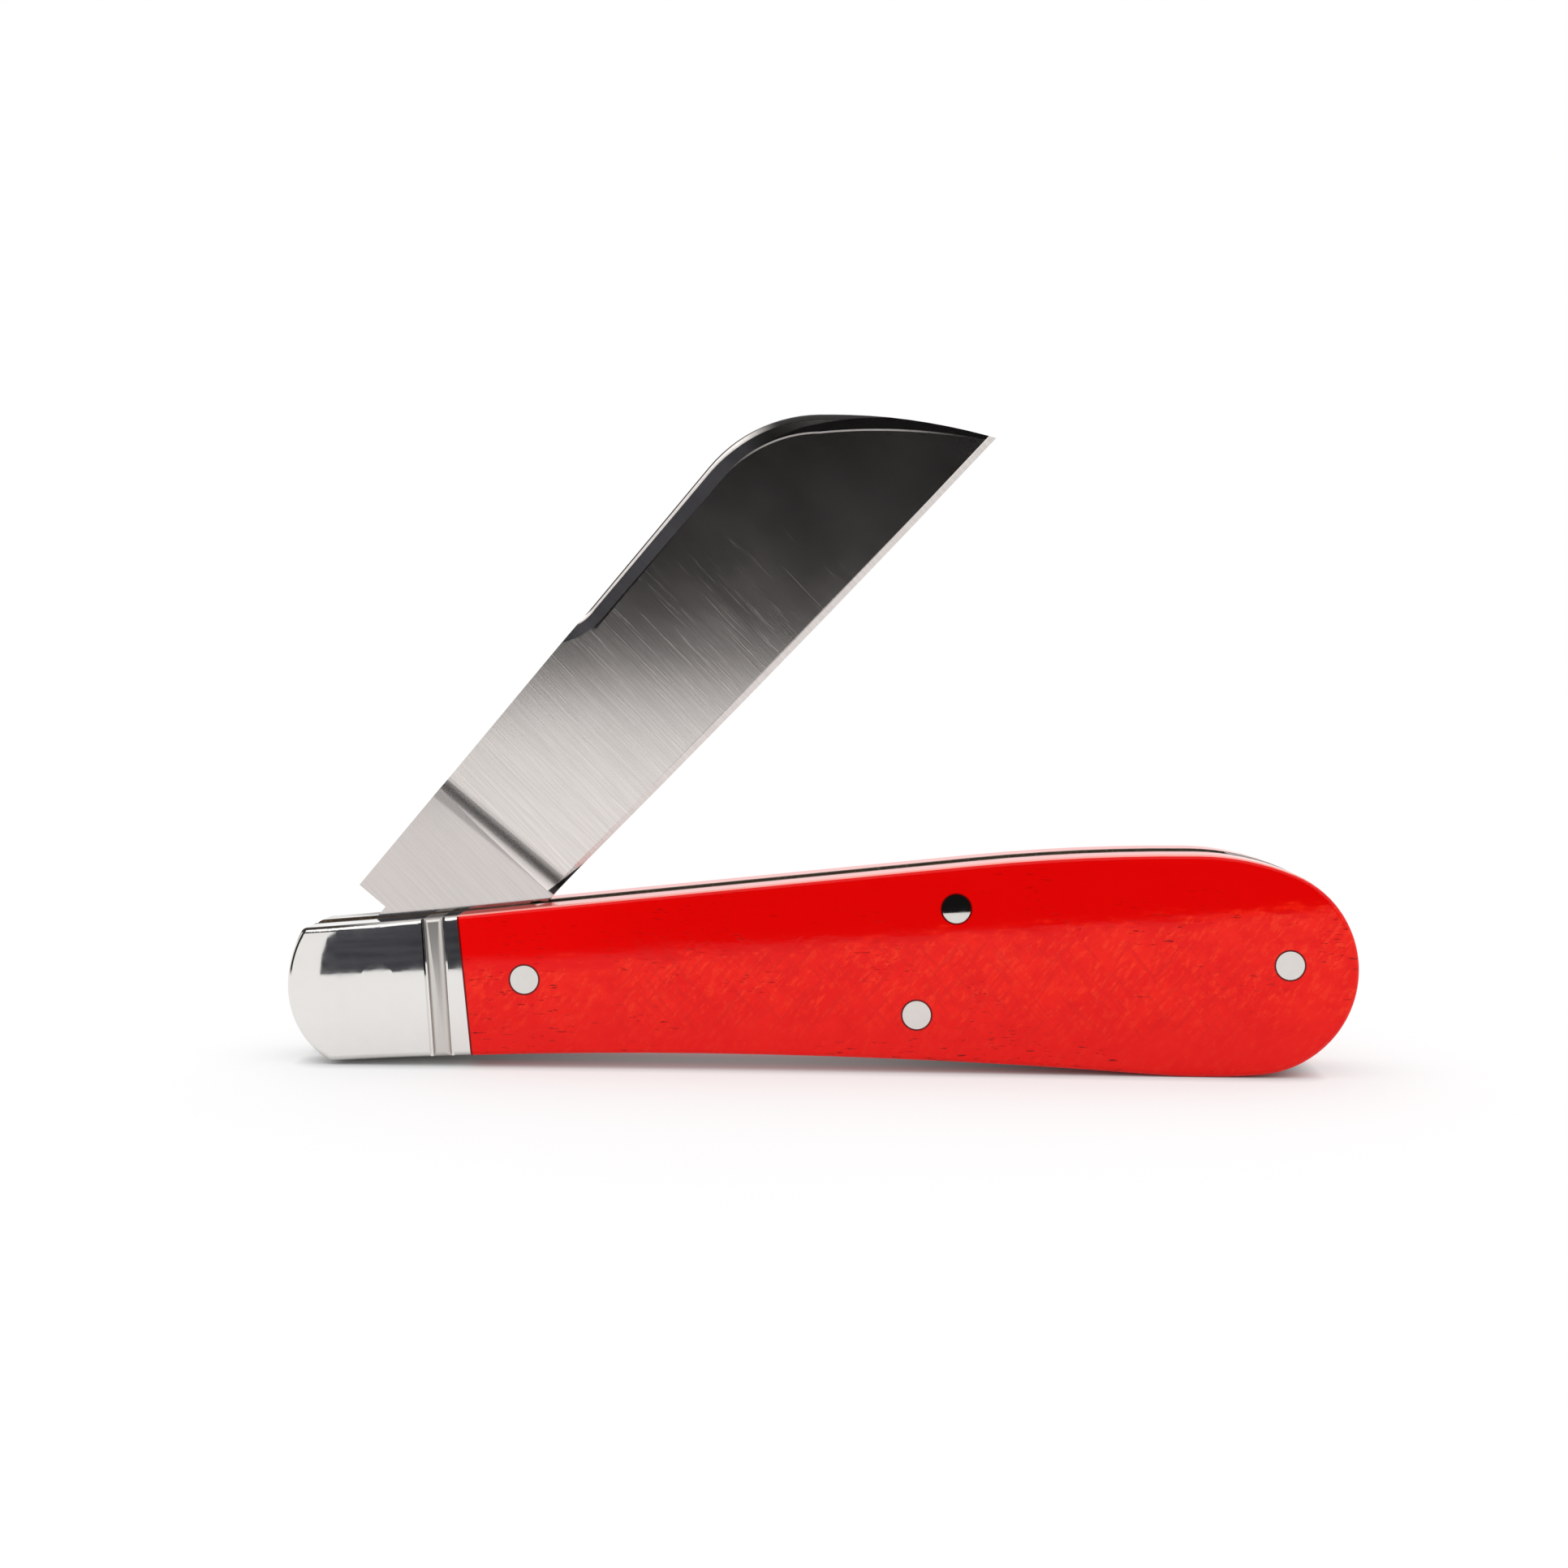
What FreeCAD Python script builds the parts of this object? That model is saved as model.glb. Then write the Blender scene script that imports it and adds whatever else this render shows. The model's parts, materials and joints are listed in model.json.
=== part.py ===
import FreeCAD, Part
import Sketcher
import math
import os

# Folding pocket knife: one blade on a slip joint, between two lined handle sides.
# X runs along the handle with the butt at +X, the mark side faces -Y, Z is up and the floor is Z = 0.

# Driving sizes, in millimetres and degrees
SIZES = {
    # handle outline, seen from the mark side
    "handle_length": 95.0,
    "nose_height": 6.95,
    "top_corner_inset": 1.5,
    "top_corner_height": 12.2,
    "top_corner_radius": 0.6,
    "heel_inset": 4.0,
    "heel_radius": 0.8,
    "bolster_length": 15.4,
    "knee_height": 13.55,
    "crest_radius": 181.0,
    "crest_setback": 14.1,
    "crest_rise": 0.95,
    "butt_radius": 9.25,
    "butt_lift": 0.2,
    "rest_setback": 13.7,
    "waist_setback": 57.5,
    "waist_height": 1.45,
    # handle layers
    "well_width": 2.2,
    "liner_thickness": 0.7,
    "side_thickness": 3.5,
    "scale_edge_radius": 0.45,
    # bolster face
    "joint_lean": 5.8,
    "bolster_edge_radius": 0.5,
    "bolster_crown_radius": 180.0,
    "crown_stock": 0.5,
    "nose_fall_length": 4.6,
    "nose_fall_depth": 0.6,
    "bead_lean": 4.0,
    "bead_width": 1.65,
    "bead_strip": 1.1,
    "inner_groove_width": 0.25,
    "outer_groove_width": 0.25,
    "groove_depth": 0.4,
    # pins and rivets
    "pivot_diameter": 3.2,
    "pivot_clearance": 0.03,
    "pivot_setback": 8.3,
    "pivot_height": 7.55,
    "pin_head_diameter": 2.5,
    "pin_head_depth": 0.8,
    "pin_shank_diameter": 2.0,
    "pin_ring_gap": 0.04,
    "spring_pin_clearance": 0.03,
    "forward_rivet_reach": 6.05,
    "forward_rivet_height": 7.9,
    "upper_rivet_setback": 35.3,
    "upper_rivet_height": 14.65,
    "centre_pin_setback": 38.7,
    "centre_pin_height": 5.2,
    "end_pin_setback": 6.05,
    "end_pin_height": 10.0,
    "bolster_rivet_diameter": 1.6,
    "bolster_rivet_depth": 1.8,
    "bolster_rivet_spread": 4.2,
    "heel_rivet_inset": 2.9,
    "bolster_rivet_rise": 2.6,
    # blade outline, from the pivot: reach along the spine, rise towards the spine, drop towards the edge
    "blade_side_clearance": 0.1,
    "blade_tip_setback": 14.2,
    "blade_tip_drop": 10.75,
    "spine_rise": 7.25,
    "back_square_reach": 4.65,
    "point_length": 18.5,
    "point_radius": 13.1,
    "point_turn": 49.5,
    "kick_reach": 15.6,
    "kick_drop": 6.8,
    "kick_width": 1.0,
    "kick_relief": 0.9,
    "edge_heel_reach": 18.6,
    "edge_heel_drop": 7.0,
    "edge_belly": 0.2,
    # blade grinds
    "plunge_reach": 17.2,
    "plunge_radius": 2.5,
    "ground_spine_thickness": 1.6,
    "ground_edge_thickness": 0.34,
    "edge_bevel_width": 0.5,
    "edge_land": 0.04,
    "swedge_start": 34.8,
    "swedge_width": 1.65,
    "swedge_angle": 9.0,
    "spine_round_radius": 0.7,
    "spine_round_turn": 65.0,
    "swedge_run_in_radius": 4.0,
    "swedge_run_in_turn": 42.0,
    "swedge_run_out": 1.4,
    # blade angles above the handle's length
    "rest_angle": 50.2,
    "closed_angle": 11.5,
    # slip joint
    "spring_tip_thickness": 3.1,
    "spring_lift": 0.3,
    "cam_gap": 0.05,
    "stop_gap": 0.1,
    "kick_gap": 0.05,
    "spring_side_clearance": 0.05,
    "spring_seat_length": 3.5,
    "spring_pin_wall": 1.1,
    "spring_hump_length": 15.2,
    "spring_arm_height": 4.9,
    "spring_tail_height": 5.1,
    "well_end_setback": 11.0,
    "well_end_radius": 7.0,
}

doc = FreeCAD.newDocument("pocket_knife")
sheet = doc.addObject("Spreadsheet::Sheet", "Sizes")
for row, (alias, number) in enumerate(SIZES.items(), start=1):
    sheet.set("A%d" % row, alias)
    sheet.set("B%d" % row, str(number))
    sheet.setAlias("B%d" % row, alias)
doc.recompute()


def size(alias):
    """The value of one cell of the sheet."""
    return float(sheet.get(alias))


# Plane geometry in the outline's own axes


def point(across, up):
    return FreeCAD.Vector(across, up, 0)


def polar(centre, radius, degrees):
    angle = math.radians(degrees)
    return centre + point(radius * math.cos(angle), radius * math.sin(angle))


def line(start, end):
    return Part.LineSegment(start, end)


def arc(start, end, centre):
    """The shorter arc about a centre."""
    middle = (start - centre) + (end - centre)
    middle.normalize()
    return Part.Arc(start, centre + middle * (start - centre).Length, end)


def touching_point(outside, centre, radius, turn):
    """Where the tangent from an outside point meets a circle, on the side that turn (+1 or -1) picks."""
    ray = outside - centre
    angle = math.atan2(ray.y, ray.x) + turn * math.acos(radius / ray.Length)
    return polar(centre, radius, math.degrees(angle))


def level_blend(level, centre, radius):
    """Centre of the arc that is level at one point and runs smoothly round into a smaller circle."""
    across = centre.x - level.x
    rise = abs(level.y - centre.y)
    blend = (across ** 2 + rise ** 2 - radius ** 2) / (2 * (rise - radius))
    return point(level.x, level.y - math.copysign(blend, level.y - centre.y))


def toward(centre, other, distance):
    """The point at a distance from one centre, on the ray through another."""
    ray = other - centre
    ray.normalize()
    return centre + ray * distance


def half_turn(start, heading, end):
    """The angle, in degrees, from a heading round to the straight line between two points."""
    chord = end - start
    return math.degrees(math.atan2(chord.y, chord.x)) - heading


def smooth_arc(start, heading, end):
    """The arc that leaves a point along a heading, in degrees, and ends at another."""
    chord = end - start
    sagitta = chord.Length / 2 * math.tan(math.radians(half_turn(start, heading, end)) / 2)
    across = point(-chord.y, chord.x)
    across.normalize()
    return Part.Arc(start, start + chord * 0.5 - across * sagitta, end)


# Places along the handle, as cell formulas from its two ends


def nose_cells(setback):
    return "(Sizes.%s - Sizes.handle_length / 2)" % setback


def butt_cells(setback):
    return "(Sizes.handle_length / 2 - Sizes.%s)" % setback


def value(cells):
    """The number that a cell formula gives."""
    return float(sheet.evalExpression(cells))


def spot(place):
    """The point of a place, which is a pair of cell formulas."""
    return point(value(place[0]), value(place[1]))


def pin_place(name):
    return (butt_cells(name + "_setback"), "Sizes.%s_height" % name)


PIVOT = (nose_cells("pivot_setback"), "Sizes.pivot_height")
FORWARD_RIVET = ("Sizes.forward_rivet_reach + " + nose_cells("bolster_length"), "Sizes.forward_rivet_height")
UPPER_RIVET = pin_place("upper_rivet")
CENTRE_PIN = pin_place("centre_pin")
END_PIN = pin_place("end_pin")
RISEN = PIVOT[1] + " + Sizes.bolster_rivet_rise"
BOLSTER_RIVETS = {
    "nose": (PIVOT[0] + " - Sizes.bolster_rivet_spread", RISEN),
    "heel": (nose_cells("bolster_length") + " - Sizes.heel_rivet_inset", RISEN),
}
pivot = spot(PIVOT)
centre_pin = spot(CENTRE_PIN)

WELL_SIDE = "(Sizes.well_width / 2)"
LINER_FACE = "(Sizes.well_width / 2 + Sizes.liner_thickness)"
HANDLE_FACE = "(Sizes.well_width / 2 + Sizes.liner_thickness + Sizes.side_thickness)"
well_side = value(WELL_SIDE)
liner_face = value(LINER_FACE)
handle_face = value(HANDLE_FACE)
SIDES = {"front": -1, "rear": 1}

# Points of the handle outline
nose_end = -size("handle_length") / 2
butt_end = size("handle_length") / 2
nose = point(nose_end, size("nose_height"))
top_corner = point(nose_end + size("top_corner_inset"), size("top_corner_height"))
heel = point(nose_end + size("heel_inset"), size("spring_lift"))
knee = point(nose_end + size("bolster_length"), size("knee_height"))
butt_centre = point(butt_end - size("butt_radius"), size("butt_lift") + size("butt_radius"))
crest = point(butt_end - size("crest_setback"), butt_centre.y + size("butt_radius") + size("crest_rise"))
crest_centre = point(crest.x, crest.y - size("crest_radius"))
crest_start = touching_point(knee, crest_centre, size("crest_radius"), -1)
rest = point(butt_end - size("rest_setback"), 0)
waist = point(butt_end - size("waist_setback"), size("waist_height"))
shoulder_centre = level_blend(crest, butt_centre, size("butt_radius"))
shoulder_radius = crest.y - shoulder_centre.y
shoulder_end = toward(shoulder_centre, butt_centre, shoulder_radius)
rump_centre = level_blend(rest, butt_centre, size("butt_radius"))
rump_radius = rump_centre.y - rest.y
rump_end = toward(rump_centre, butt_centre, rump_radius)


def concave_radius(low, high):
    """Radius of the arc that is level at its high point and passes through a lower one."""
    rise = high.y - low.y
    return ((low.x - high.x) ** 2 + rise ** 2) / (2 * rise)


back_radius = concave_radius(rest, waist) - rump_radius
back_centre = point(waist.x, waist.y - back_radius)
back_end = toward(back_centre, rump_centre, back_radius)
heel_centre = point(waist.x, waist.y - concave_radius(heel, waist))


def head_centre():
    """Centre of the arc over the bolster, which runs in line with the top edge at the knee."""
    along = crest_start - knee
    along.normalize()
    across = point(-along.y, along.x)
    to_corner = top_corner - knee
    return knee + across * (to_corner.dot(to_corner) / (2 * to_corner.dot(across)))


def nose_centre(corner):
    """Centre of the arc that stands upright at the nose and passes through a corner."""
    across = corner.x - nose.x
    rise = corner.y - nose.y
    return nose + point((across ** 2 + rise ** 2) / (2 * across), 0)


def corner_round(corner, edge, swell, radius):
    """The round of a corner between the arcs about two centres: its two ends and its centre.

    The second arc swells outward; the first may be hollow or swell as well.
    """
    hollow = (edge - corner).dot(swell - corner) < 0
    edge_distance = (corner - edge).Length
    swell_distance = (corner - swell).Length
    edge_reach = edge_distance + (radius if hollow else -radius)
    swell_reach = swell_distance - radius
    along = swell - edge
    span = along.Length
    along.normalize()
    across = point(-along.y, along.x)
    foot = (edge_reach ** 2 - swell_reach ** 2 + span ** 2) / (2 * span)
    off = math.sqrt(edge_reach ** 2 - foot ** 2)
    centres = [edge + along * foot + across * turn for turn in (off, -off)]
    centre = min(centres, key=lambda place: (place - corner).Length)
    return toward(edge, centre, edge_distance), toward(swell, centre, swell_distance), centre


def handle_outline():
    top_edge = head_centre()
    top_swell = nose_centre(top_corner)
    heel_swell = nose_centre(heel)
    corner_radius = size("top_corner_radius")
    top_start, nose_top, top_round = corner_round(top_corner, top_edge, top_swell, corner_radius)
    back_stop, nose_foot, heel_round = corner_round(heel, heel_centre, heel_swell, size("heel_radius"))
    return [
        arc(top_start, knee, top_edge),
        line(knee, crest_start),
        arc(crest_start, crest, crest_centre),
        arc(crest, shoulder_end, shoulder_centre),
        arc(shoulder_end, rump_end, butt_centre),
        arc(rump_end, rest, rump_centre),
        arc(rest, back_end, rump_centre),
        arc(back_end, waist, back_centre),
        arc(waist, back_stop, heel_centre),
        arc(back_stop, nose_foot, heel_round),
        arc(nose_foot, nose, heel_swell),
        arc(nose, nose_top, top_swell),
        arc(nose_top, top_start, top_round),
    ]


# Bodies, sketches and features


def new_body(label):
    body = doc.addObject("PartDesign::Body", label)
    body.Label = label
    return body


def new_sketch(body, name, role, curves):
    sketch = body.newObject("Sketcher::SketchObject", body.Label + "_" + name)
    plane = next(item for item in body.Origin.OriginFeatures if item.Role == role)
    sketch.AttachmentSupport = (plane, [""])
    sketch.MapMode = "FlatFace"
    for curve in curves:
        sketch.addGeometry(curve, False)
    return sketch


def shifted(base):
    """A placement that moves a sketch without turning it."""
    return FreeCAD.Placement(base, FreeCAD.Rotation())


def new_feature(body, kind, name, sketch):
    feature = body.newObject("PartDesign::" + kind, body.Label + "_" + name)
    feature.Profile = sketch
    sketch.Visibility = False
    return feature


def pad_side(body, name, curves, side, start_cells, length_cells):
    """A plate on one side of the middle plane (side -1 is the mark side), thickened outward."""
    sketch = new_sketch(body, name + "_outline", "XZ_Plane", curves)
    sketch.setExpression("AttachmentOffset.Base.z", "%d * %s" % (-side, start_cells))
    pad = new_feature(body, "Pad", name, sketch)
    pad.setExpression("Length", length_cells)
    pad.Reversed = side > 0
    return pad


def pad_middle(body, name, curves, length_cells):
    sketch = new_sketch(body, name + "_outline", "XZ_Plane", curves)
    pad = new_feature(body, "Pad", name, sketch)
    pad.SideType = "Symmetric"
    pad.setExpression("Length", length_cells)
    return pad


def cut_through(body, name, role, curves):
    """A cut right through the body, both ways from one of its origin planes."""
    sketch = new_sketch(body, name + "_outline", role, curves)
    pocket = new_feature(body, "Pocket", name, sketch)
    pocket.SideType = "Symmetric"
    pocket.setExpression("Length", "4 * Sizes.handle_length")
    return pocket


def bore(body, name, place, radius_cells):
    """A round hole across the body at a place in its outline plane."""
    sketch = new_sketch(body, name + "_circle", "XZ_Plane", [])
    sketch.setExpression("AttachmentOffset.Base.x", place[0])
    sketch.setExpression("AttachmentOffset.Base.y", place[1])
    radius = value(radius_cells)
    ring = sketch.addGeometry(Part.Circle(point(0, 0), FreeCAD.Vector(0, 0, 1), radius), False)
    sketch.addConstraint(Sketcher.Constraint("Coincident", ring, 3, -1, 1))
    number = sketch.addConstraint(Sketcher.Constraint("Radius", ring, radius))
    sketch.setExpression("Constraints[%d]" % number, radius_cells)
    pocket = new_feature(body, "Pocket", name, sketch)
    pocket.SideType = "Symmetric"
    pocket.setExpression("Length", "4 * " + HANDLE_FACE)
    return pocket


def round_edges(body, name, base, edges, radius_cells):
    fillet = body.newObject("PartDesign::Fillet", body.Label + "_" + name)
    fillet.Base = (base, edges)
    fillet.setExpression("Radius", radius_cells)
    doc.recompute()
    return fillet


def edges_where(feature, test):
    """Names of the feature's edges whose every end and middle passes a test."""
    names = []
    for number, edge in enumerate(feature.Shape.Edges, start=1):
        middle = edge.valueAt((edge.FirstParameter + edge.LastParameter) / 2)
        if all(test(place) for place in [middle] + [vertex.Point for vertex in edge.Vertexes]):
            names.append("Edge%d" % number)
    return names


def polygon(corners):
    """Straight edges round a list of corners."""
    return [line(corners[i - 1], corners[i]) for i in range(len(corners))]


# Joint between bolster and scale: a straight line through the knee, leaning back towards the nose at its top


def joint_across(vertex):
    """How far a point of the model lies beyond the joint, towards the butt."""
    lean = math.radians(size("joint_lean"))
    return (vertex.x - knee.x) * math.cos(lean) + (vertex.z - knee.y) * math.sin(lean)


def joint_cut(body, name, keep):
    """Cuts away one side of the joint: keep -1 leaves the nose end, keep 1 leaves the butt end."""
    far = 2 * size("handle_length")
    lean = math.tan(math.radians(size("joint_lean"))) * far
    low = knee + point(lean, -far)
    high = knee + point(-lean, far)
    away = point(-keep * far, 0)
    return cut_through(body, name, "XZ_Plane", polygon([low, high, high + away, low + away]))


# Pins and rivets


def rod(label, place, start_cells, end_cells, radius_cells):
    """A plain round pin across the handle, from one depth to another."""
    pin = doc.addObject("Part::Cylinder", label)
    pin.Label = label
    pin.Placement = FreeCAD.Placement(FreeCAD.Vector(), FreeCAD.Rotation(FreeCAD.Vector(1, 0, 0), -90))
    pin.setExpression("Placement.Base.x", place[0])
    pin.setExpression("Placement.Base.y", start_cells)
    pin.setExpression("Placement.Base.z", place[1])
    pin.setExpression("Height", "%s - %s" % (end_cells, start_cells))
    pin.setExpression("Radius", radius_cells)
    return pin


def headed_profile(start, side, gap, beyond):
    """Half the section of a pin with a flared head at the handle face: radius across, depth up."""
    shank = size("pin_shank_diameter") / 2 + gap
    head = size("pin_head_diameter") / 2 + gap
    neck = handle_face - size("pin_head_depth")
    corners = [(0, start), (shank, start), (shank, neck), (head, handle_face)]
    if beyond > 0:
        corners.append((head, handle_face + beyond))
    corners.append((0, handle_face + beyond))
    return polygon([point(across, side * depth) for across, depth in corners])


def turned(body, kind, name, place, curves):
    """A revolved feature about a line across the handle."""
    sketch = new_sketch(body, name + "_section", "XY_Plane", curves)
    sketch.setExpression("AttachmentOffset.Base.x", place[0])
    sketch.setExpression("AttachmentOffset.Base.z", place[1])
    feature = new_feature(body, kind, name, sketch)
    feature.ReferenceAxis = (sketch, ["V_Axis"])
    feature.Angle = 360
    return feature


def scale_rivet(side_name, name, place):
    """A short pin through one scale and its liner, flush with the liner's inside."""
    body = new_body("%s_%s_rivet" % (side_name, name))
    turned(body, "Revolution", "rivet", place, headed_profile(well_side, SIDES[side_name], 0, 0))
    return body


def through_pin(label, place):
    """A pin through the whole handle, with a flared head at each face."""
    body = new_body(label)
    for side_name, side in SIDES.items():
        turned(body, "Revolution", side_name + "_half", place, headed_profile(0, side, 0, 0))
    return body


# Handle plates
CROWN_SWING = 40.0


def liner(side_name):
    body = new_body(side_name + "_liner")
    pad_side(body, "plate", handle_outline(), SIDES[side_name], WELL_SIDE, "Sizes.liner_thickness")
    bore(body, "pivot_hole", PIVOT, "Sizes.pivot_diameter / 2")
    pins = {"forward": FORWARD_RIVET, "upper": UPPER_RIVET, "centre": CENTRE_PIN, "end": END_PIN}
    for name, place in pins.items():
        bore(body, name + "_hole", place, "Sizes.pin_shank_diameter / 2")
    for name, place in BOLSTER_RIVETS.items():
        bore(body, name + "_rivet_hole", place, "Sizes.bolster_rivet_diameter / 2")
    return body


def scale(side_name):
    side = SIDES[side_name]
    body = new_body(side_name + "_scale")
    pad_side(body, "slab", handle_outline(), side, LINER_FACE, "Sizes.side_thickness")
    slab = joint_cut(body, "joint", 1)
    doc.recompute()
    near = 0.001
    rim = edges_where(slab, lambda v: abs(side * v.y - handle_face) < near and joint_across(v) > -near)
    joint_edge = edges_where(slab, lambda v: abs(joint_across(v)) < near)
    free_rim = [name for name in rim if name not in joint_edge]
    round_edges(body, "rim", slab, free_rim, "Sizes.scale_edge_radius")
    pins = {"forward": FORWARD_RIVET, "upper": UPPER_RIVET, "centre": CENTRE_PIN, "end": END_PIN}
    for name, place in pins.items():
        section = headed_profile(0, side, size("pin_ring_gap"), size("side_thickness"))
        turned(body, "Groove", name + "_hole", place, section)
    return body


def crown_face(body, side):
    """Cuts one face at the bolster to a gentle crown that falls away towards the nose."""
    crown = size("bolster_crown_radius")
    fall_length = size("nose_fall_length")
    fall_start = nose_end + fall_length
    fall_depth = size("nose_fall_depth")
    fall_radius = (fall_length ** 2 + fall_depth ** 2) / (2 * fall_depth)
    fall_centre = point(fall_start, side * (crown - fall_radius))
    level = point(fall_start, side * crown)
    overrun = fall_length * 1.25
    low = fall_centre + point(-overrun, side * math.sqrt(fall_radius ** 2 - overrun ** 2))
    clear = side * (crown + size("side_thickness"))
    right = knee.x + size("bolster_length")
    corners = [low, point(low.x, clear), point(right, clear), point(right, side * crown), level]
    curves = [line(corners[i], corners[i + 1]) for i in range(len(corners) - 1)]
    curves.append(arc(level, low, fall_centre))
    sketch = new_sketch(body, "crown_section_%d" % (side > 0), "XY_Plane", curves)
    axis_cells = "%d * (%s - Sizes.bolster_crown_radius)" % (side, HANDLE_FACE)
    sketch.setExpression("AttachmentOffset.Base.y", axis_cells)
    sketch.setExpression("AttachmentOffset.Base.z", "(Sizes.top_corner_height + Sizes.spring_lift) / 2")
    groove = new_feature(body, "Groove", "crown_%d" % (side > 0), sketch)
    groove.ReferenceAxis = (sketch, ["H_Axis"])
    groove.Midplane = True
    groove.Angle = CROWN_SWING
    doc.recompute()
    return groove, fall_start


def bead_cut(body, side):
    """Two square grooves beside the joint, with a half-round bead between them."""
    inner = -size("bead_strip")
    near_foot = inner - size("inner_groove_width")
    far_foot = near_foot - size("bead_width")
    outer = far_foot - size("outer_groove_width")
    floor = side * (handle_face - size("groove_depth"))
    clear = side * (handle_face + size("side_thickness"))
    crown = point((near_foot + far_foot) / 2, side * handle_face)
    curves = [
        line(point(inner, clear), point(inner, floor)),
        line(point(inner, floor), point(near_foot, floor)),
        Part.Arc(point(near_foot, floor), crown, point(far_foot, floor)),
        line(point(far_foot, floor), point(outer, floor)),
        line(point(outer, floor), point(outer, clear)),
        line(point(outer, clear), point(inner, clear)),
    ]
    pocket = cut_through(body, "bead", "XY_Plane", curves)
    lean = FreeCAD.Rotation(FreeCAD.Vector(0, 1, 0), -size("bead_lean"))
    pocket.Profile[0].AttachmentOffset = FreeCAD.Placement(FreeCAD.Vector(knee.x, 0, knee.y), lean)
    return pocket


def bolster(side_name):
    side = SIDES[side_name]
    body = new_body(side_name + "_bolster")
    thickness = "Sizes.side_thickness + Sizes.crown_stock"
    pad_side(body, "block", handle_outline(), side, LINER_FACE, thickness)
    joint_cut(body, "joint", -1)
    crowned, fall_start = crown_face(body, side)
    near = 0.001
    outer_half = liner_face + size("side_thickness") / 2
    outer = edges_where(crowned, lambda v: side * v.y > outer_half)
    seams = edges_where(crowned, lambda v: abs(joint_across(v)) < near)
    seams += edges_where(crowned, lambda v: abs(v.x - fall_start) < near)
    free_rim = [name for name in outer if name not in seams]
    round_edges(body, "rim", crowned, free_rim, "Sizes.bolster_edge_radius")
    bead_cut(body, side)
    bore(body, "pivot_hole", PIVOT, "Sizes.pivot_diameter / 2")
    for name, place in BOLSTER_RIVETS.items():
        radius = "Sizes.bolster_rivet_diameter / 2"
        hole = bore(body, name + "_rivet_hole", place, radius)
        hole.Profile[0].setExpression("AttachmentOffset.Base.z", "%d * %s" % (-side, LINER_FACE))
        hole.SideType = "One side"
        hole.Reversed = side < 0
        hole.setExpression("Length", "Sizes.bolster_rivet_depth")
    return body


def pivot_pin():
    """The pin that the blade turns on, with its ends ground to the bolsters' crown."""
    body = new_body("pivot_pin")
    across = size("pivot_diameter") / 2
    end = handle_face + size("crown_stock")
    section = [(0, -end), (across, -end), (across, end), (0, end)]
    turned(body, "Revolution", "pin", PIVOT, polygon([point(*corner) for corner in section]))
    for side in SIDES.values():
        crown_face(body, side)
    return body


# Slip joint sizes that the tang and the spring share
tang_flat = size("spine_rise") - size("spring_tip_thickness")
cam_radius = tang_flat + size("spring_lift") - size("cam_gap")
flat_half = math.sqrt(cam_radius ** 2 - tang_flat ** 2)
blade_reach = size("handle_length") - size("pivot_setback") - size("blade_tip_setback")
kick = point(size("kick_reach"), -size("kick_drop"))
edge_heel = point(size("edge_heel_reach"), -size("edge_heel_drop"))
tip = point(blade_reach, -size("blade_tip_drop"))
spine_end = point(blade_reach - size("point_length"), size("spine_rise"))
edge_chord = tip - edge_heel
edge_radius = (edge_chord.Length ** 2 / 4 + size("edge_belly") ** 2) / (2 * size("edge_belly"))
edge_inward = point(-edge_chord.y, edge_chord.x)
edge_inward.normalize()
edge_centre = edge_heel + edge_chord * 0.5 + edge_inward * (edge_radius - size("edge_belly"))


def closed_place(blade_point):
    """Where a point of the blade lies in the handle when the blade is shut."""
    turn = math.radians(size("closed_angle"))
    along = blade_point.x * math.cos(turn) - blade_point.y * math.sin(turn)
    up = blade_point.x * math.sin(turn) + blade_point.y * math.cos(turn)
    return pivot + point(along, up)


def spring_outline():
    tip_x = pivot.x - size("back_square_reach") + size("stop_gap")
    arm = centre_pin.x - tip_x
    tip_top = point(tip_x, pivot.y - tang_flat - size("spring_lift"))
    seat_end = point(pivot.x + size("spring_seat_length"), tip_top.y)
    shut_kick = closed_place(kick)
    kick_lift = size("spring_lift") * (centre_pin.x - shut_kick.x) / arm
    kick_seat = shut_kick - point(0, kick_lift + size("kick_gap"))
    hump_half = size("spring_hump_length") / 2
    hump_start = point(centre_pin.x - hump_half, size("spring_arm_height"))
    hump_top = centre_pin + point(0, size("pin_shank_diameter") / 2 + size("spring_pin_wall"))
    hump_end = point(centre_pin.x + hump_half, size("spring_tail_height"))
    well_end = butt_end - size("well_end_setback")
    tail_end = point(well_end - size("well_end_radius"), size("spring_tail_height"))
    well_centre = tail_end + point(0, size("well_end_radius"))
    wall_foot = point(well_end, well_centre.y)
    wall_rise = math.sqrt(shoulder_radius ** 2 - (well_end - shoulder_centre.x) ** 2)
    wall_top = point(well_end, shoulder_centre.y + wall_rise)
    back_rise = math.sqrt(back_radius ** 2 - (centre_pin.x - back_centre.x) ** 2)
    back_start = point(centre_pin.x, back_centre.y + back_rise)
    waist_lift = size("spring_lift") * (centre_pin.x - waist.x) / arm
    tip_bottom = point(tip_x, 0)
    return [
        line(tip_bottom, tip_top),
        line(tip_top, seat_end),
        line(seat_end, kick_seat),
        line(kick_seat, hump_start),
        Part.Arc(hump_start, hump_top, hump_end),
        line(hump_end, tail_end),
        arc(tail_end, wall_foot, well_centre),
        line(wall_foot, wall_top),
        arc(wall_top, shoulder_end, shoulder_centre),
        arc(shoulder_end, rump_end, butt_centre),
        arc(rump_end, rest, rump_centre),
        arc(rest, back_end, rump_centre),
        arc(back_end, back_start, back_centre),
        Part.Arc(back_start, waist - point(0, waist_lift), tip_bottom),
    ]


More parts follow.
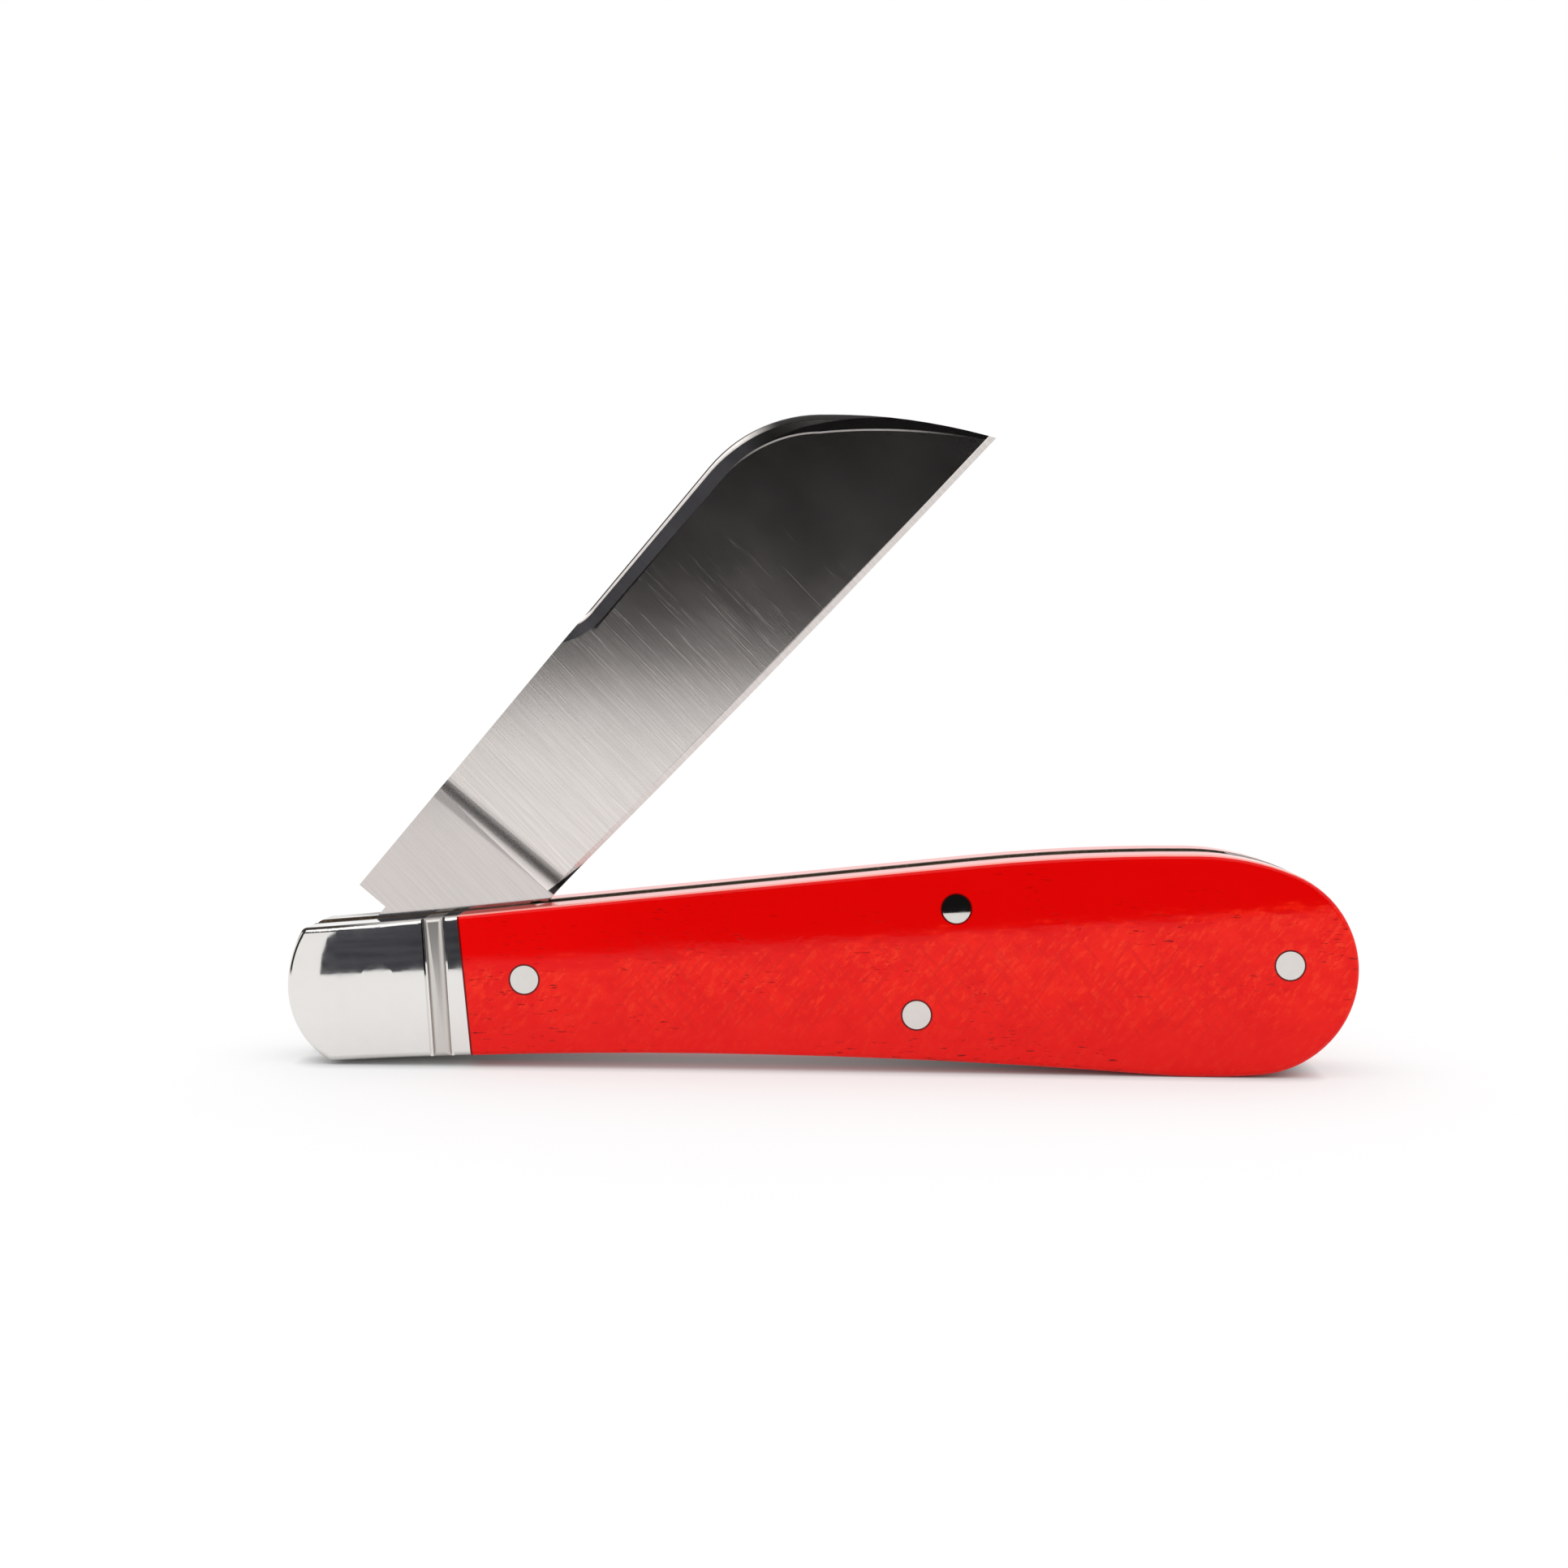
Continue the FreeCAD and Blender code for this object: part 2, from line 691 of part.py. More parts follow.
def backspring():
    body = new_body("backspring")
    thickness = "Sizes.well_width - 2 * Sizes.spring_side_clearance"
    pad_middle(body, "spring", spring_outline(), thickness)
    for name, place in {"centre": CENTRE_PIN, "end": END_PIN}.items():
        bore(body, name + "_hole", place, "Sizes.pin_shank_diameter / 2 + Sizes.spring_pin_clearance")
    return body


# Blade, in its own axes: X along the spine from the pivot, Z towards the spine
point_centre = spine_end - point(0, size("point_radius"))
point_end = polar(point_centre, size("point_radius"), 90 - size("point_turn"))


def blade_outline():
    shut = -90 - size("closed_angle")
    flat_middle = polar(point(0, 0), tang_flat, shut)
    flat_along = polar(point(0, 0), flat_half, shut + 90)
    cam_end = flat_middle - flat_along
    flat_end = flat_middle + flat_along
    kick_back = kick - point(size("kick_width"), 0)
    under = kick_back - flat_end
    under.normalize()
    relief = point(-under.y, under.x) * size("kick_relief")
    relief_start = flat_end + under * (2 * size("kick_relief")) + relief
    relief_end = kick_back - under * size("kick_relief") + relief
    corners = [edge_heel, kick, kick_back, relief_end, relief_start, flat_end, cam_end]
    cam_start = point(-flat_half, tang_flat)
    notch = point(size("back_square_reach"), tang_flat)
    back_square = point(size("back_square_reach"), size("spine_rise"))
    curves = [
        line(back_square, spine_end),
        arc(spine_end, point_end, point_centre),
        smooth_arc(point_end, -size("point_turn"), tip),
        arc(tip, edge_heel, edge_centre),
    ]
    curves += [line(corners[i], corners[i + 1]) for i in range(len(corners) - 1)]
    curves += [
        arc(cam_end, cam_start, point(0, 0)),
        line(cam_start, notch),
        line(notch, back_square),
    ]
    return curves


def edge_level(reach):
    """Rise of the straight line from the heel of the edge to the tip."""
    return edge_heel.y + edge_chord.y / edge_chord.x * (reach - edge_heel.x)


grind_fall = (size("ground_spine_thickness") - size("ground_edge_thickness")) / 2
grind_slope = grind_fall / (size("spine_rise") - edge_level(size("plunge_reach")))


def ground_half(reach, rise):
    """Half the blade's thickness on the ground face."""
    return size("ground_edge_thickness") / 2 + grind_slope * (rise - edge_level(reach))


def grind(body, side_name):
    """The flat grind of one side, which ends at the ricasso in a scoop of the wheel's radius."""
    side = SIDES[side_name]
    start = point(size("plunge_reach"), side * ground_half(size("plunge_reach"), 0))
    beyond = blade_reach + size("plunge_radius")
    end = point(beyond, side * ground_half(beyond, 0))
    wheel = start + point(0, side * size("plunge_radius"))
    scoop = wheel + point(-size("plunge_radius"), 0)
    clear = point(beyond, wheel.y)
    curves = [line(start, end), line(end, clear), line(clear, scoop), arc(scoop, start, wheel)]
    pocket = cut_through(body, side_name + "_grind", "XY_Plane", curves)
    tilt = FreeCAD.Rotation(FreeCAD.Vector(1, 0, 0), -side * math.degrees(math.atan(grind_slope)))
    pocket.Profile[0].AttachmentOffset = FreeCAD.Placement(FreeCAD.Vector(), tilt)
    return pocket


def sweep_cut(body, name, path_curves, section_curves, start, heading):
    """Cuts a section along a path in the outline plane, from a start point and a heading in degrees."""
    path = new_sketch(body, name + "_path", "XZ_Plane", path_curves)
    section = new_sketch(body, name + "_section", "YZ_Plane", section_curves)
    facing = FreeCAD.Rotation(FreeCAD.Vector(1, 0, 0), -heading)
    section.AttachmentOffset = FreeCAD.Placement(FreeCAD.Vector(0, start.y, start.x), facing)
    sweep = new_feature(body, "SubtractivePipe", name, section)
    sweep.Spine = (path, ["Edge%d" % number for number in range(1, len(path_curves) + 1)])
    path.Visibility = False
    return sweep


def edge_bevel(body, side_name):
    """The narrow cutting bevel of one side, from the heel of the edge past the tip."""
    side = SIDES[side_name]
    land = size("edge_land") / 2
    spread = (size("ground_edge_thickness") / 2 - land) / size("edge_bevel_width")
    high = 2 * size("edge_bevel_width")
    wide = land + spread * high
    corners = [point(land, 0), point(wide, high), point(wide, -high), point(land, -high)]
    section = polygon([point(side * corner.x, corner.y) for corner in corners])
    from_centre = edge_heel - edge_centre
    heel_angle = math.degrees(math.atan2(from_centre.y, from_centre.x))
    overrun = edge_chord.Length + size("plunge_radius")
    beyond = polar(edge_centre, edge_radius, heel_angle + math.degrees(overrun / edge_radius))
    path = [arc(edge_heel, beyond, edge_centre)]
    return sweep_cut(body, side_name + "_bevel", path, section, edge_heel, heel_angle + 90)


def swedge_section(side):
    """Section of the false edge, from the spine down: a round at the spine, then a flat facet."""
    turns = [math.radians(size(name)) for name in ("swedge_angle", "spine_round_turn")]
    radius = size("spine_round_radius")

    def on_round(turn):
        start = polar(point(0, 0), radius, size("swedge_angle"))
        return polar(point(0, 0), radius, math.degrees(turn)) - start

    facet_top = -on_round(turns[1]).y
    facet_half = ground_half(spine_end.x, size("spine_rise") - size("swedge_width"))
    facet_half -= (size("swedge_width") + facet_top) * math.tan(turns[0])
    corner = point(facet_half, facet_top)
    spine = corner + on_round(turns[1])
    reach = 2 * size("swedge_width")
    foot = corner + point(reach * math.sin(turns[0]), -reach * math.cos(turns[0]))
    clear = size("well_width")
    high = size("swedge_width") / 2
    corners = [corner, foot, point(clear, foot.y), point(clear, high), point(spine.x, high), spine]
    middle = corner + on_round((turns[0] + turns[1]) / 2)
    mirrored = [point(side * place.x, place.y) for place in corners]
    curves = [line(mirrored[i], mirrored[i + 1]) for i in range(len(mirrored) - 1)]
    curves.append(Part.Arc(mirrored[-1], point(side * middle.x, middle.y), mirrored[0]))
    return curves


def swedge_path():
    """The line that the false edge follows: it dips to the spine, runs along it and fades at the tip."""
    turn = size("swedge_run_in_turn")
    radius = size("swedge_run_in_radius")
    run_in = point(size("swedge_start") + radius * math.sin(math.radians(turn)), size("spine_rise"))
    run_in_centre = run_in + point(0, radius)
    dip = polar(run_in_centre, radius, -90 - turn)
    start = polar(dip, size("swedge_width"), 180 - turn)
    tip_heading = 2 * half_turn(point_end, -size("point_turn"), tip) - size("point_turn")
    end = polar(tip, size("swedge_run_out"), tip_heading + 90)
    curves = [
        line(start, dip),
        arc(dip, run_in, run_in_centre),
        line(run_in, spine_end),
        arc(spine_end, point_end, point_centre),
        smooth_arc(point_end, -size("point_turn"), end),
    ]
    return start, curves


def swedge(body, side_name):
    """The false edge along one side of the spine."""
    start, path = swedge_path()
    section = swedge_section(SIDES[side_name])
    return sweep_cut(body, side_name + "_swedge", path, section, start, -size("swedge_run_in_turn"))


def blade():
    body = new_body("blade")
    pad_middle(body, "blank", blade_outline(), "Sizes.well_width - 2 * Sizes.blade_side_clearance")
    bore(body, "pivot_hole", ("0", "0"), "Sizes.pivot_diameter / 2 + Sizes.pivot_clearance")
    for side_name in SIDES:
        grind(body, side_name)
        edge_bevel(body, side_name)
        swedge(body, side_name)
    body.Placement = FreeCAD.Placement(FreeCAD.Vector(), FreeCAD.Rotation(FreeCAD.Vector(0, -1, 0), 1))
    body.setExpression("Placement.Base.x", PIVOT[0])
    body.setExpression("Placement.Base.z", PIVOT[1])
    body.setExpression("Placement.Rotation.Angle", "Sizes.rest_angle")
    return body


# Assembly
parts = [blade(), backspring()]
for side_name in SIDES:
    parts += [liner(side_name), bolster(side_name), scale(side_name)]
    parts.append(scale_rivet(side_name, "forward", FORWARD_RIVET))
    parts.append(scale_rivet(side_name, "upper", UPPER_RIVET))
    ends = [WELL_SIDE, LINER_FACE + " + Sizes.bolster_rivet_depth"]
    if SIDES[side_name] < 0:
        ends = ["-(%s)" % end for end in reversed(ends)]
    for name, place in BOLSTER_RIVETS.items():
        label = "%s_bolster_%s_rivet" % (side_name, name)
        parts.append(rod(label, place, ends[0], ends[1], "Sizes.bolster_rivet_diameter / 2"))
parts.append(pivot_pin())
parts.append(through_pin("centre_pin", CENTRE_PIN))
parts.append(through_pin("end_pin", END_PIN))
doc.recompute()

# Every object is checked before anything is written
for item in doc.Objects:
    if "Invalid" in item.State or "Error" in item.State:
        raise RuntimeError("%s failed: %s" % (item.Label, item.State))
for part in parts:
    if part.Shape.isNull() or not part.Shape.isValid() or len(part.Shape.Solids) != 1:
        raise RuntimeError("%s is not one valid solid" % part.Label)

os.makedirs("parts", exist_ok=True)
for part in parts:
    part.Shape.exportStep("parts/%s.step" % part.Label)
    box = part.Shape.BoundBox
    print("%-28s %9.2f mm3   x %7.2f %7.2f   y %6.2f %6.2f   z %6.2f %6.2f"
          % (part.Label, part.Shape.Volume, box.XMin, box.XMax, box.YMin, box.YMax, box.ZMin, box.ZMax))
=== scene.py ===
"""Looks of the folding pocket knife: materials, floor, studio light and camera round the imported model."""

import json
import math

import bpy
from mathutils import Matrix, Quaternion, Vector


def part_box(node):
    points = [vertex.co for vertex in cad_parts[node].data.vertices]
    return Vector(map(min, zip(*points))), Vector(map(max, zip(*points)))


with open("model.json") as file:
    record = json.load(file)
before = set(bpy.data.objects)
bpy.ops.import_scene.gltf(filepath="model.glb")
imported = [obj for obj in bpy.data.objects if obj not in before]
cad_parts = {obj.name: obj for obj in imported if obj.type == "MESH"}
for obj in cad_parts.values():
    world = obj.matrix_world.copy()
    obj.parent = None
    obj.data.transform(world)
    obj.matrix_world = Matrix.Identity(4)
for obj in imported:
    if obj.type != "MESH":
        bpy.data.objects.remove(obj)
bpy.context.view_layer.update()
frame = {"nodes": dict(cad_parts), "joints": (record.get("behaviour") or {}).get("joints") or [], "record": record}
nodes = frame["nodes"]
joint_places = {joint["name"]: Vector(joint["pos_m"]) for joint in frame["joints"]}

MILLIMETRE = 0.001


# Shader nodes

# Limits that most values of a noise lie between
NOISE_SPAN = (0.3, 0.7)

# A Mix node's sockets for its first value, its second value and its result
MIX_SOCKETS = {"FLOAT": (2, 3, 0), "RGBA": (6, 7, 2)}


class Shader:
    """A material around one Principled shader, with short calls for the nodes that feed it."""

    def __init__(self, name, sockets):
        self.material = bpy.data.materials.new(name)
        self.material.use_nodes = True
        self.tree = self.material.node_tree
        self.surface = self.tree.nodes["Principled BSDF"]
        for socket, value in sockets.items():
            self.set(socket, value)

    def feed(self, socket, value):
        """Links an output to a socket, or sets a plain value on it."""
        if isinstance(value, bpy.types.NodeSocket):
            self.tree.links.new(value, socket)
        else:
            socket.default_value = value

    def set(self, socket, value):
        """Feeds one socket of the Principled shader."""
        self.feed(self.surface.inputs[socket], value)

    def node(self, kind, inputs, **settings):
        """Adds a node, changes its settings and feeds its inputs."""
        made = self.tree.nodes.new("ShaderNode" + kind)
        for name, value in settings.items():
            setattr(made, name, value)
        for name, value in inputs.items():
            self.feed(made.inputs[name], value)
        return made

    def mapped(self, vector, **inputs):
        """A vector after a turn or a change of scale."""
        return self.node("Mapping", {"Vector": vector, **inputs}).outputs[0]

    def place(self, origin=(0.0, 0.0, 0.0), turn=0.0):
        """Coordinates fixed to the piece, in millimetres from an origin, with X turned up by an angle."""
        at_rest = self.node("TexCoord", {}).outputs["Object"]
        moved = self.vector("SUBTRACT", at_rest, origin)
        turned = self.mapped(moved, Rotation=(0.0, math.radians(turn), 0.0))
        return self.mapped(turned, Scale=(1 / MILLIMETRE, 1 / MILLIMETRE, 1 / MILLIMETRE))

    def facing(self):
        """The direction that the surface faces, in the piece's own axes."""
        return self.node("TexCoord", {}).outputs["Normal"]

    def axis(self, vector, name):
        """A vector's part along X, Y or Z."""
        return self.node("SeparateXYZ", {"Vector": vector}).outputs[name]

    def math(self, kind, first, second=0.0):
        """What a Math node makes of one or two numbers."""
        return self.node("Math", {0: first, 1: second}, operation=kind).outputs[0]

    def vector(self, kind, first, second):
        """What a Vector Math node makes of a vector and a fixed one."""
        return self.node("VectorMath", {0: first, 1: tuple(second)}, operation=kind).outputs[0]

    def project(self, vector, direction):
        """The part of a vector along a direction."""
        inputs = {0: vector, 1: tuple(direction)}
        return self.node("VectorMath", inputs, operation="DOT_PRODUCT").outputs["Value"]

    def away(self, place, spot):
        """The distance from a spot, seen from the side."""
        inputs = {0: self.vector("MULTIPLY", place, (1.0, 0.0, 1.0)), 1: tuple(spot)}
        return self.node("VectorMath", inputs, operation="DISTANCE").outputs["Value"]

    def noise(self, place, grain, detail=2.0, roughness=0.5, distortion=0.0):
        """Noise of 0 to 1 whose grains have the given size along each axis."""
        inputs = {
            "Vector": self.mapped(place, Scale=tuple(1 / length for length in grain)),
            "Scale": 1.0,
            "Detail": detail,
            "Roughness": roughness,
            "Distortion": distortion,
        }
        return self.node("TexNoise", inputs).outputs[0]

    def rise(self, factor, limits, below=0.0, above=1.0):
        """A smooth change from one value to another between two limits of the factor."""
        low, high = limits
        inputs = {"Value": factor, "From Min": low, "From Max": high, "To Min": below, "To Max": above}
        return self.node("MapRange", inputs, interpolation_type="SMOOTHSTEP").outputs[0]

    def fall(self, factor, limits):
        """A smooth change from 1 to 0 between two limits of the factor."""
        return self.rise(factor, limits, 1.0, 0.0)

    def spread(self, noise, below=0.0, above=1.0):
        """A noise whose usual values are spread between two others."""
        return self.rise(noise, NOISE_SPAN, below, above)

    def band(self, factor, limits, soft):
        """1 between two limits of the factor and 0 outside them, with soft ends."""
        low, high = limits
        return self.both(self.rise(factor, (low - soft, low)), self.fall(factor, (high, high + soft)))

    def both(self, first, *others):
        """The product of some masks, which is 1 only where each of them is."""
        for other in others:
            first = self.math("MULTIPLY", first, other)
        return first

    def either(self, first, *others):
        """The largest of some masks."""
        for other in others:
            first = self.math("MAXIMUM", first, other)
        return first

    def between(self, kind, factor, first, second):
        """What a Mix node makes of two values."""
        first_socket, second_socket, result = MIX_SOCKETS[kind]
        inputs = {0: factor, first_socket: first, second_socket: second}
        return self.node("Mix", inputs, data_type=kind).outputs[result]

    def mix(self, factor, first, second):
        """A colour between two others."""
        return self.between("RGBA", factor, first, second)

    def blend(self, factor, first, second):
        """A number between two others."""
        return self.between("FLOAT", factor, first, second)

    def bump(self, height, depth, below=None):
        """Relief of the given depth in millimetres, from a height of 0 to 1, over any relief below it."""
        inputs = {"Height": height, "Distance": depth * MILLIMETRE, "Strength": 1.0}
        if below:
            inputs["Normal"] = below
        return self.node("Bump", inputs).outputs[0]


def grey(value, warmth=0.0):
    """A linear grey, with a little more red and a little less blue where it is warm."""
    return (value * (1 + warmth), value, value * (1 - warmth), 1.0)


# Shape of the blade, from its pivot: reach along the spine and rise towards it, in millimetres and degrees
BLADE_ANGLE = 50.2
RICASSO_END = 15.6
PLUNGE_END = 17.2
EDGE_HEEL_REACH = 18.6
EDGE_HEEL_RISE = -7.0
EDGE_SLOPE = -0.0696
POINT_CENTRE = Vector((54.0, 0.0, -5.85))
POINT_RADIUS = 13.1
POINT_TURN = 49.5
TIP_RADIUS = 54.2
TIP_LENGTH = 15.5
SWEDGE_START = 34.8
SWEDGE_WIDTH = 1.65
SWEDGE_FADE = 1.4
BELOW_ALL = -100.0

# Borders of the blade's finishes: where each one rises or falls, in millimetres
BEVEL_BORDER = (0.425, 0.5)
PLUNGE_SOFT = 0.5
SWEDGE_BORDER = (-0.12, 0.0)
SWEDGE_SHOWS = (SWEDGE_START + 1, SWEDGE_START + 2)
ARRIS = (-0.05, 0.05)
ARRIS_SOFT = 0.06
ARRIS_REACH = (60.0, 66.0)
ARRIS_FADE = 6.0
# Place of the heel facet, where shade is painted dark
HEEL_FACET_SHOWS = (15.3, 15.5)
HEEL_FACET_END = 19.4
HEEL_FACET_WIDTH = 0.55
HEEL_FACET_BORDER = (-0.05, 0.05)
# Where the painted dark reflection on the spine's round shows
SPINE_LINE_SHOWS = (SWEDGE_START, SWEDGE_START + 3)
SPINE_ROUND_SHOWS = (57.0, 61.0)
SPINE_ROUND_ABOVE_EDGE = (0.6, 0.8)

# Directions of the spine's round where a dark reflection is painted, as parts of the direction that the surface
# faces
SPINE_LINE_LEAN = (0.74, 0.93)
SPINE_LINE_SOFT = 0.05
SPINE_ROUND_SIDEWAYS = (0.2, 0.98)
SPINE_ROUND_SOFT = 0.005

# Finish of the blade: grain in millimetres and degrees, linear colours, roughness
GRAIN_LEAN = 6.0
FINE_GRAIN = {"grain": (0.13, 1.2, 7.0), "detail": 3.0, "roughness": 0.6}
COARSE_GRAIN = {"grain": (0.16, 1.2, 8.0), "detail": 3.0, "roughness": 0.6}
COARSE_LINE = (0.58, 0.7)
GRAIN_DEPTH = 0.0008
BLADE_CLOUDS = {"grain": (6.0, 6.0, 9.0), "detail": 3.0}
SATIN_COLOURS = ((0.68, 0.637, 0.612, 1.0), (0.78, 0.730, 0.705, 1.0))
SATIN_LINE_COLOUR = (0.81, 0.757, 0.732, 1.0)
RICASSO_COLOURS = ((0.60, 0.557, 0.540, 1.0), (0.65, 0.605, 0.587, 1.0))
# Painted dark reflection on the spine's round and painted shade on the heel facet
PAINTED_DARK_STEEL = (0.030, 0.028, 0.027, 1.0)
RICASSO_ROUGHNESS = (0.06, 0.09)
SATIN_ROUGHNESS = (0.12, 0.138)
ZONE_ROUGHNESS = {"swedge": 0.07, "plunge": 0.26, "arris": 0.42, "bevel": 0.36}
BLADE_ANISOTROPY = 0.6


def inside_swedge(shader, place):
    """How far a point of the blade lies inside the swedge's line, which follows the spine to the tip."""
    turn = math.radians(POINT_TURN)
    outward = Vector((math.sin(turn), 0.0, math.cos(turn)))
    heading = Vector((math.cos(turn), 0.0, -math.sin(turn)))
    round_end = POINT_CENTRE + outward * POINT_RADIUS
    past = shader.project(shader.vector("SUBTRACT", place, round_end), heading)
    ahead = shader.vector("MAXIMUM", place, (POINT_CENTRE.x, BELOW_ALL, BELOW_ALL))
    spine = shader.math("SUBTRACT", POINT_RADIUS, shader.away(ahead, POINT_CENTRE))
    tip = shader.math("SUBTRACT", TIP_RADIUS, shader.away(place, round_end - outward * TIP_RADIUS))
    depth = shader.blend(shader.math("GREATER_THAN", past, 0.0), spine, tip)
    fade = shader.math("MULTIPLY", shader.math("MAXIMUM", past, 0.0), SWEDGE_FADE / TIP_LENGTH)
    return shader.math("ADD", shader.math("SUBTRACT", depth, SWEDGE_WIDTH), fade)


def edge_height(shader, place):
    """How far a point of the blade lies above its cutting edge."""
    along = shader.math("SUBTRACT", shader.axis(place, "X"), EDGE_HEEL_REACH)
    edge = shader.math("ADD", shader.math("MULTIPLY", along, EDGE_SLOPE), EDGE_HEEL_RISE)
    return shader.math("SUBTRACT", shader.axis(place, "Z"), edge)


def heel_facet_painted_shade(shader, place):
    """1 on the facet that tapers from the kick to the heel of the edge, where shade is painted dark."""
    reach = shader.axis(place, "X")
    slope = HEEL_FACET_WIDTH / (HEEL_FACET_END - RICASSO_END)
    width = shader.math("MULTIPLY", shader.math("SUBTRACT", HEEL_FACET_END, reach), slope)
    inside = shader.math("SUBTRACT", edge_height(shader, place), width)
    return shader.both(shader.fall(inside, HEEL_FACET_BORDER), shader.rise(reach, HEEL_FACET_SHOWS))


def spine_painted_reflection(shader, place):
    """1 where a dark reflection is painted: on the far side of the round along the swedge's spine, and on all of
    that round at the point.
    """
    reach = shader.axis(place, "X")
    turn = math.radians(BLADE_ANGLE)
    lean = shader.project(shader.facing(), (-math.sin(turn), 0.0, math.cos(turn)))
    line = shader.both(
        shader.band(lean, SPINE_LINE_LEAN, SPINE_LINE_SOFT),
        shader.rise(reach, SPINE_LINE_SHOWS),
    )
    sideways = shader.math("ABSOLUTE", shader.axis(shader.facing(), "Y"))
    round_edge = shader.both(
        shader.band(sideways, SPINE_ROUND_SIDEWAYS, SPINE_ROUND_SOFT),
        shader.rise(reach, SPINE_ROUND_SHOWS),
        shader.rise(edge_height(shader, place), SPINE_ROUND_ABOVE_EDGE),
    )
    return shader.either(line, round_edge)


def blade_zones(shader, place):
    """Masks of the stretches of the blade that have a finish of their own."""
    reach = shader.axis(place, "X")
    inside = inside_swedge(shader, place)
    ground = shader.rise(reach, (RICASSO_END, PLUNGE_END))
    swedge = shader.both(shader.fall(inside, SWEDGE_BORDER), shader.rise(reach, SWEDGE_SHOWS))
    arris = shader.both(
        shader.band(inside, ARRIS, ARRIS_SOFT),
        shader.band(reach, ARRIS_REACH, ARRIS_FADE),
    )
    return {
        "ground": ground,
        "satin": shader.math("SUBTRACT", ground, swedge),
        "swedge": swedge,
        "arris": arris,
        "plunge": shader.band(reach, (RICASSO_END, PLUNGE_END), PLUNGE_SOFT),
        "bevel": shader.both(shader.fall(edge_height(shader, place), BEVEL_BORDER), ground),
        # Painted dark reflection on the spine's round and painted shade on the heel facet
        "dark": shader.either(heel_facet_painted_shade(shader, place), spine_painted_reflection(shader, place)),
    }


def blade_steel():
    """Satin steel, ground across the blade, with a polished ricasso and swedge, a painted dark reflection along
    the spine's round and painted shade on the heel facet.
    """
    shader = Shader("blade_steel", {"Metallic": 1.0, "Anisotropic": BLADE_ANISOTROPY})
    pivot = joint_places["blade_pivot"]
    place = shader.place(pivot, BLADE_ANGLE)
    zones = blade_zones(shader, place)
    grain = shader.place(pivot, BLADE_ANGLE - GRAIN_LEAN)
    fine = shader.noise(grain, **FINE_GRAIN)
    coarse = shader.noise(grain, **COARSE_GRAIN)
    lines = shader.both(shader.rise(coarse, COARSE_LINE), zones["satin"])
    satin = shader.mix(shader.spread(fine), *SATIN_COLOURS)
    satin = shader.mix(lines, satin, SATIN_LINE_COLOUR)
    ricasso = shader.mix(shader.spread(fine), *RICASSO_COLOURS)
    steel = shader.mix(zones["ground"], ricasso, satin)
    # Painted dark reflection on the spine's round and painted shade on the heel facet, laid over the steel
    shader.set("Base Color", shader.mix(zones["dark"], steel, PAINTED_DARK_STEEL))
    clouds = shader.noise(place, **BLADE_CLOUDS)
    polished = shader.spread(clouds, *RICASSO_ROUGHNESS)
    rough = shader.blend(zones["ground"], polished, shader.spread(clouds, *SATIN_ROUGHNESS))
    for name, roughness in ZONE_ROUGHNESS.items():
        rough = shader.blend(zones[name], rough, roughness)
    shader.set("Roughness", rough)
    turn = math.radians(BLADE_ANGLE)
    along = {0: (math.cos(turn), 0.0, math.sin(turn))}
    tangent = shader.node("VectorTransform", along, convert_from="OBJECT", convert_to="WORLD")
    shader.set("Tangent", tangent.outputs[0])
    relief = shader.bump(lines, GRAIN_DEPTH)
    shader.set("Normal", shader.bump(shader.both(fine, zones["satin"]), GRAIN_DEPTH, relief))
    return shader.material


# Finish of the backspring: grain in millimetres, linear colours, roughness
SPRING_CLOUDS = {"grain": (3.0, 1.5, 3.0), "detail": 5.0, "roughness": 0.6}
SPRING_MARKS = {"grain": (5.0, 0.12, 0.3), "detail": 3.0}
SPRING_MARK_DEPTH = 0.006
SPRING_COLOURS = (grey(0.12, 0.12), grey(0.30, 0.07))
SPRING_ROUGHNESS = (0.38, 0.55)


def spring_steel():
    """Dull dark steel with long fine marks."""
    shader = Shader("spring_steel", {"Metallic": 1.0})
    place = shader.place()
    clouds = shader.noise(place, **SPRING_CLOUDS)
    marks = shader.noise(place, **SPRING_MARKS)
    shader.set("Base Color", shader.mix(clouds, *SPRING_COLOURS))
    shader.set("Roughness", shader.spread(marks, *SPRING_ROUGHNESS))
    shader.set("Normal", shader.bump(marks, SPRING_MARK_DEPTH))
    return shader.material


# Finish of the liners: grain in millimetres, linear colours
LINER_CLOUDS = {"grain": (1.6, 0.6, 1.6), "detail": 5.0, "roughness": 0.65}
LINER_SPOTS = {"grain": (0.3, 0.5, 0.3), "detail": 3.0}
LINER_SPOT_DEPTH = 0.03
LINER_WORN = (0.55, 0.7)
LINER_BARE = (0.5, 0.7)
LINER_METALLIC = 0.35
LINER_TARNISH = ((0.022, 0.015, 0.010, 1.0), (0.11, 0.078, 0.052, 1.0))
LINER_WORN_COLOUR = (0.17, 0.12, 0.075, 1.0)


def liner_brass():
    """Dull brass, tarnished nearly black-brown, with small worn spots."""
    shader = Shader("liner_brass", {"Roughness": 0.62, "Specular IOR Level": 0.12})
    place = shader.place()
    clouds = shader.noise(place, **LINER_CLOUDS)
    spots = shader.noise(place, **LINER_SPOTS)
    tarnish = shader.mix(clouds, *LINER_TARNISH)
    shader.set("Base Color", shader.mix(shader.rise(spots, LINER_WORN), tarnish, LINER_WORN_COLOUR))
    shader.set("Metallic", shader.rise(spots, LINER_BARE, 0.0, LINER_METALLIC))
    shader.set("Normal", shader.bump(spots, LINER_SPOT_DEPTH))
    return shader.material


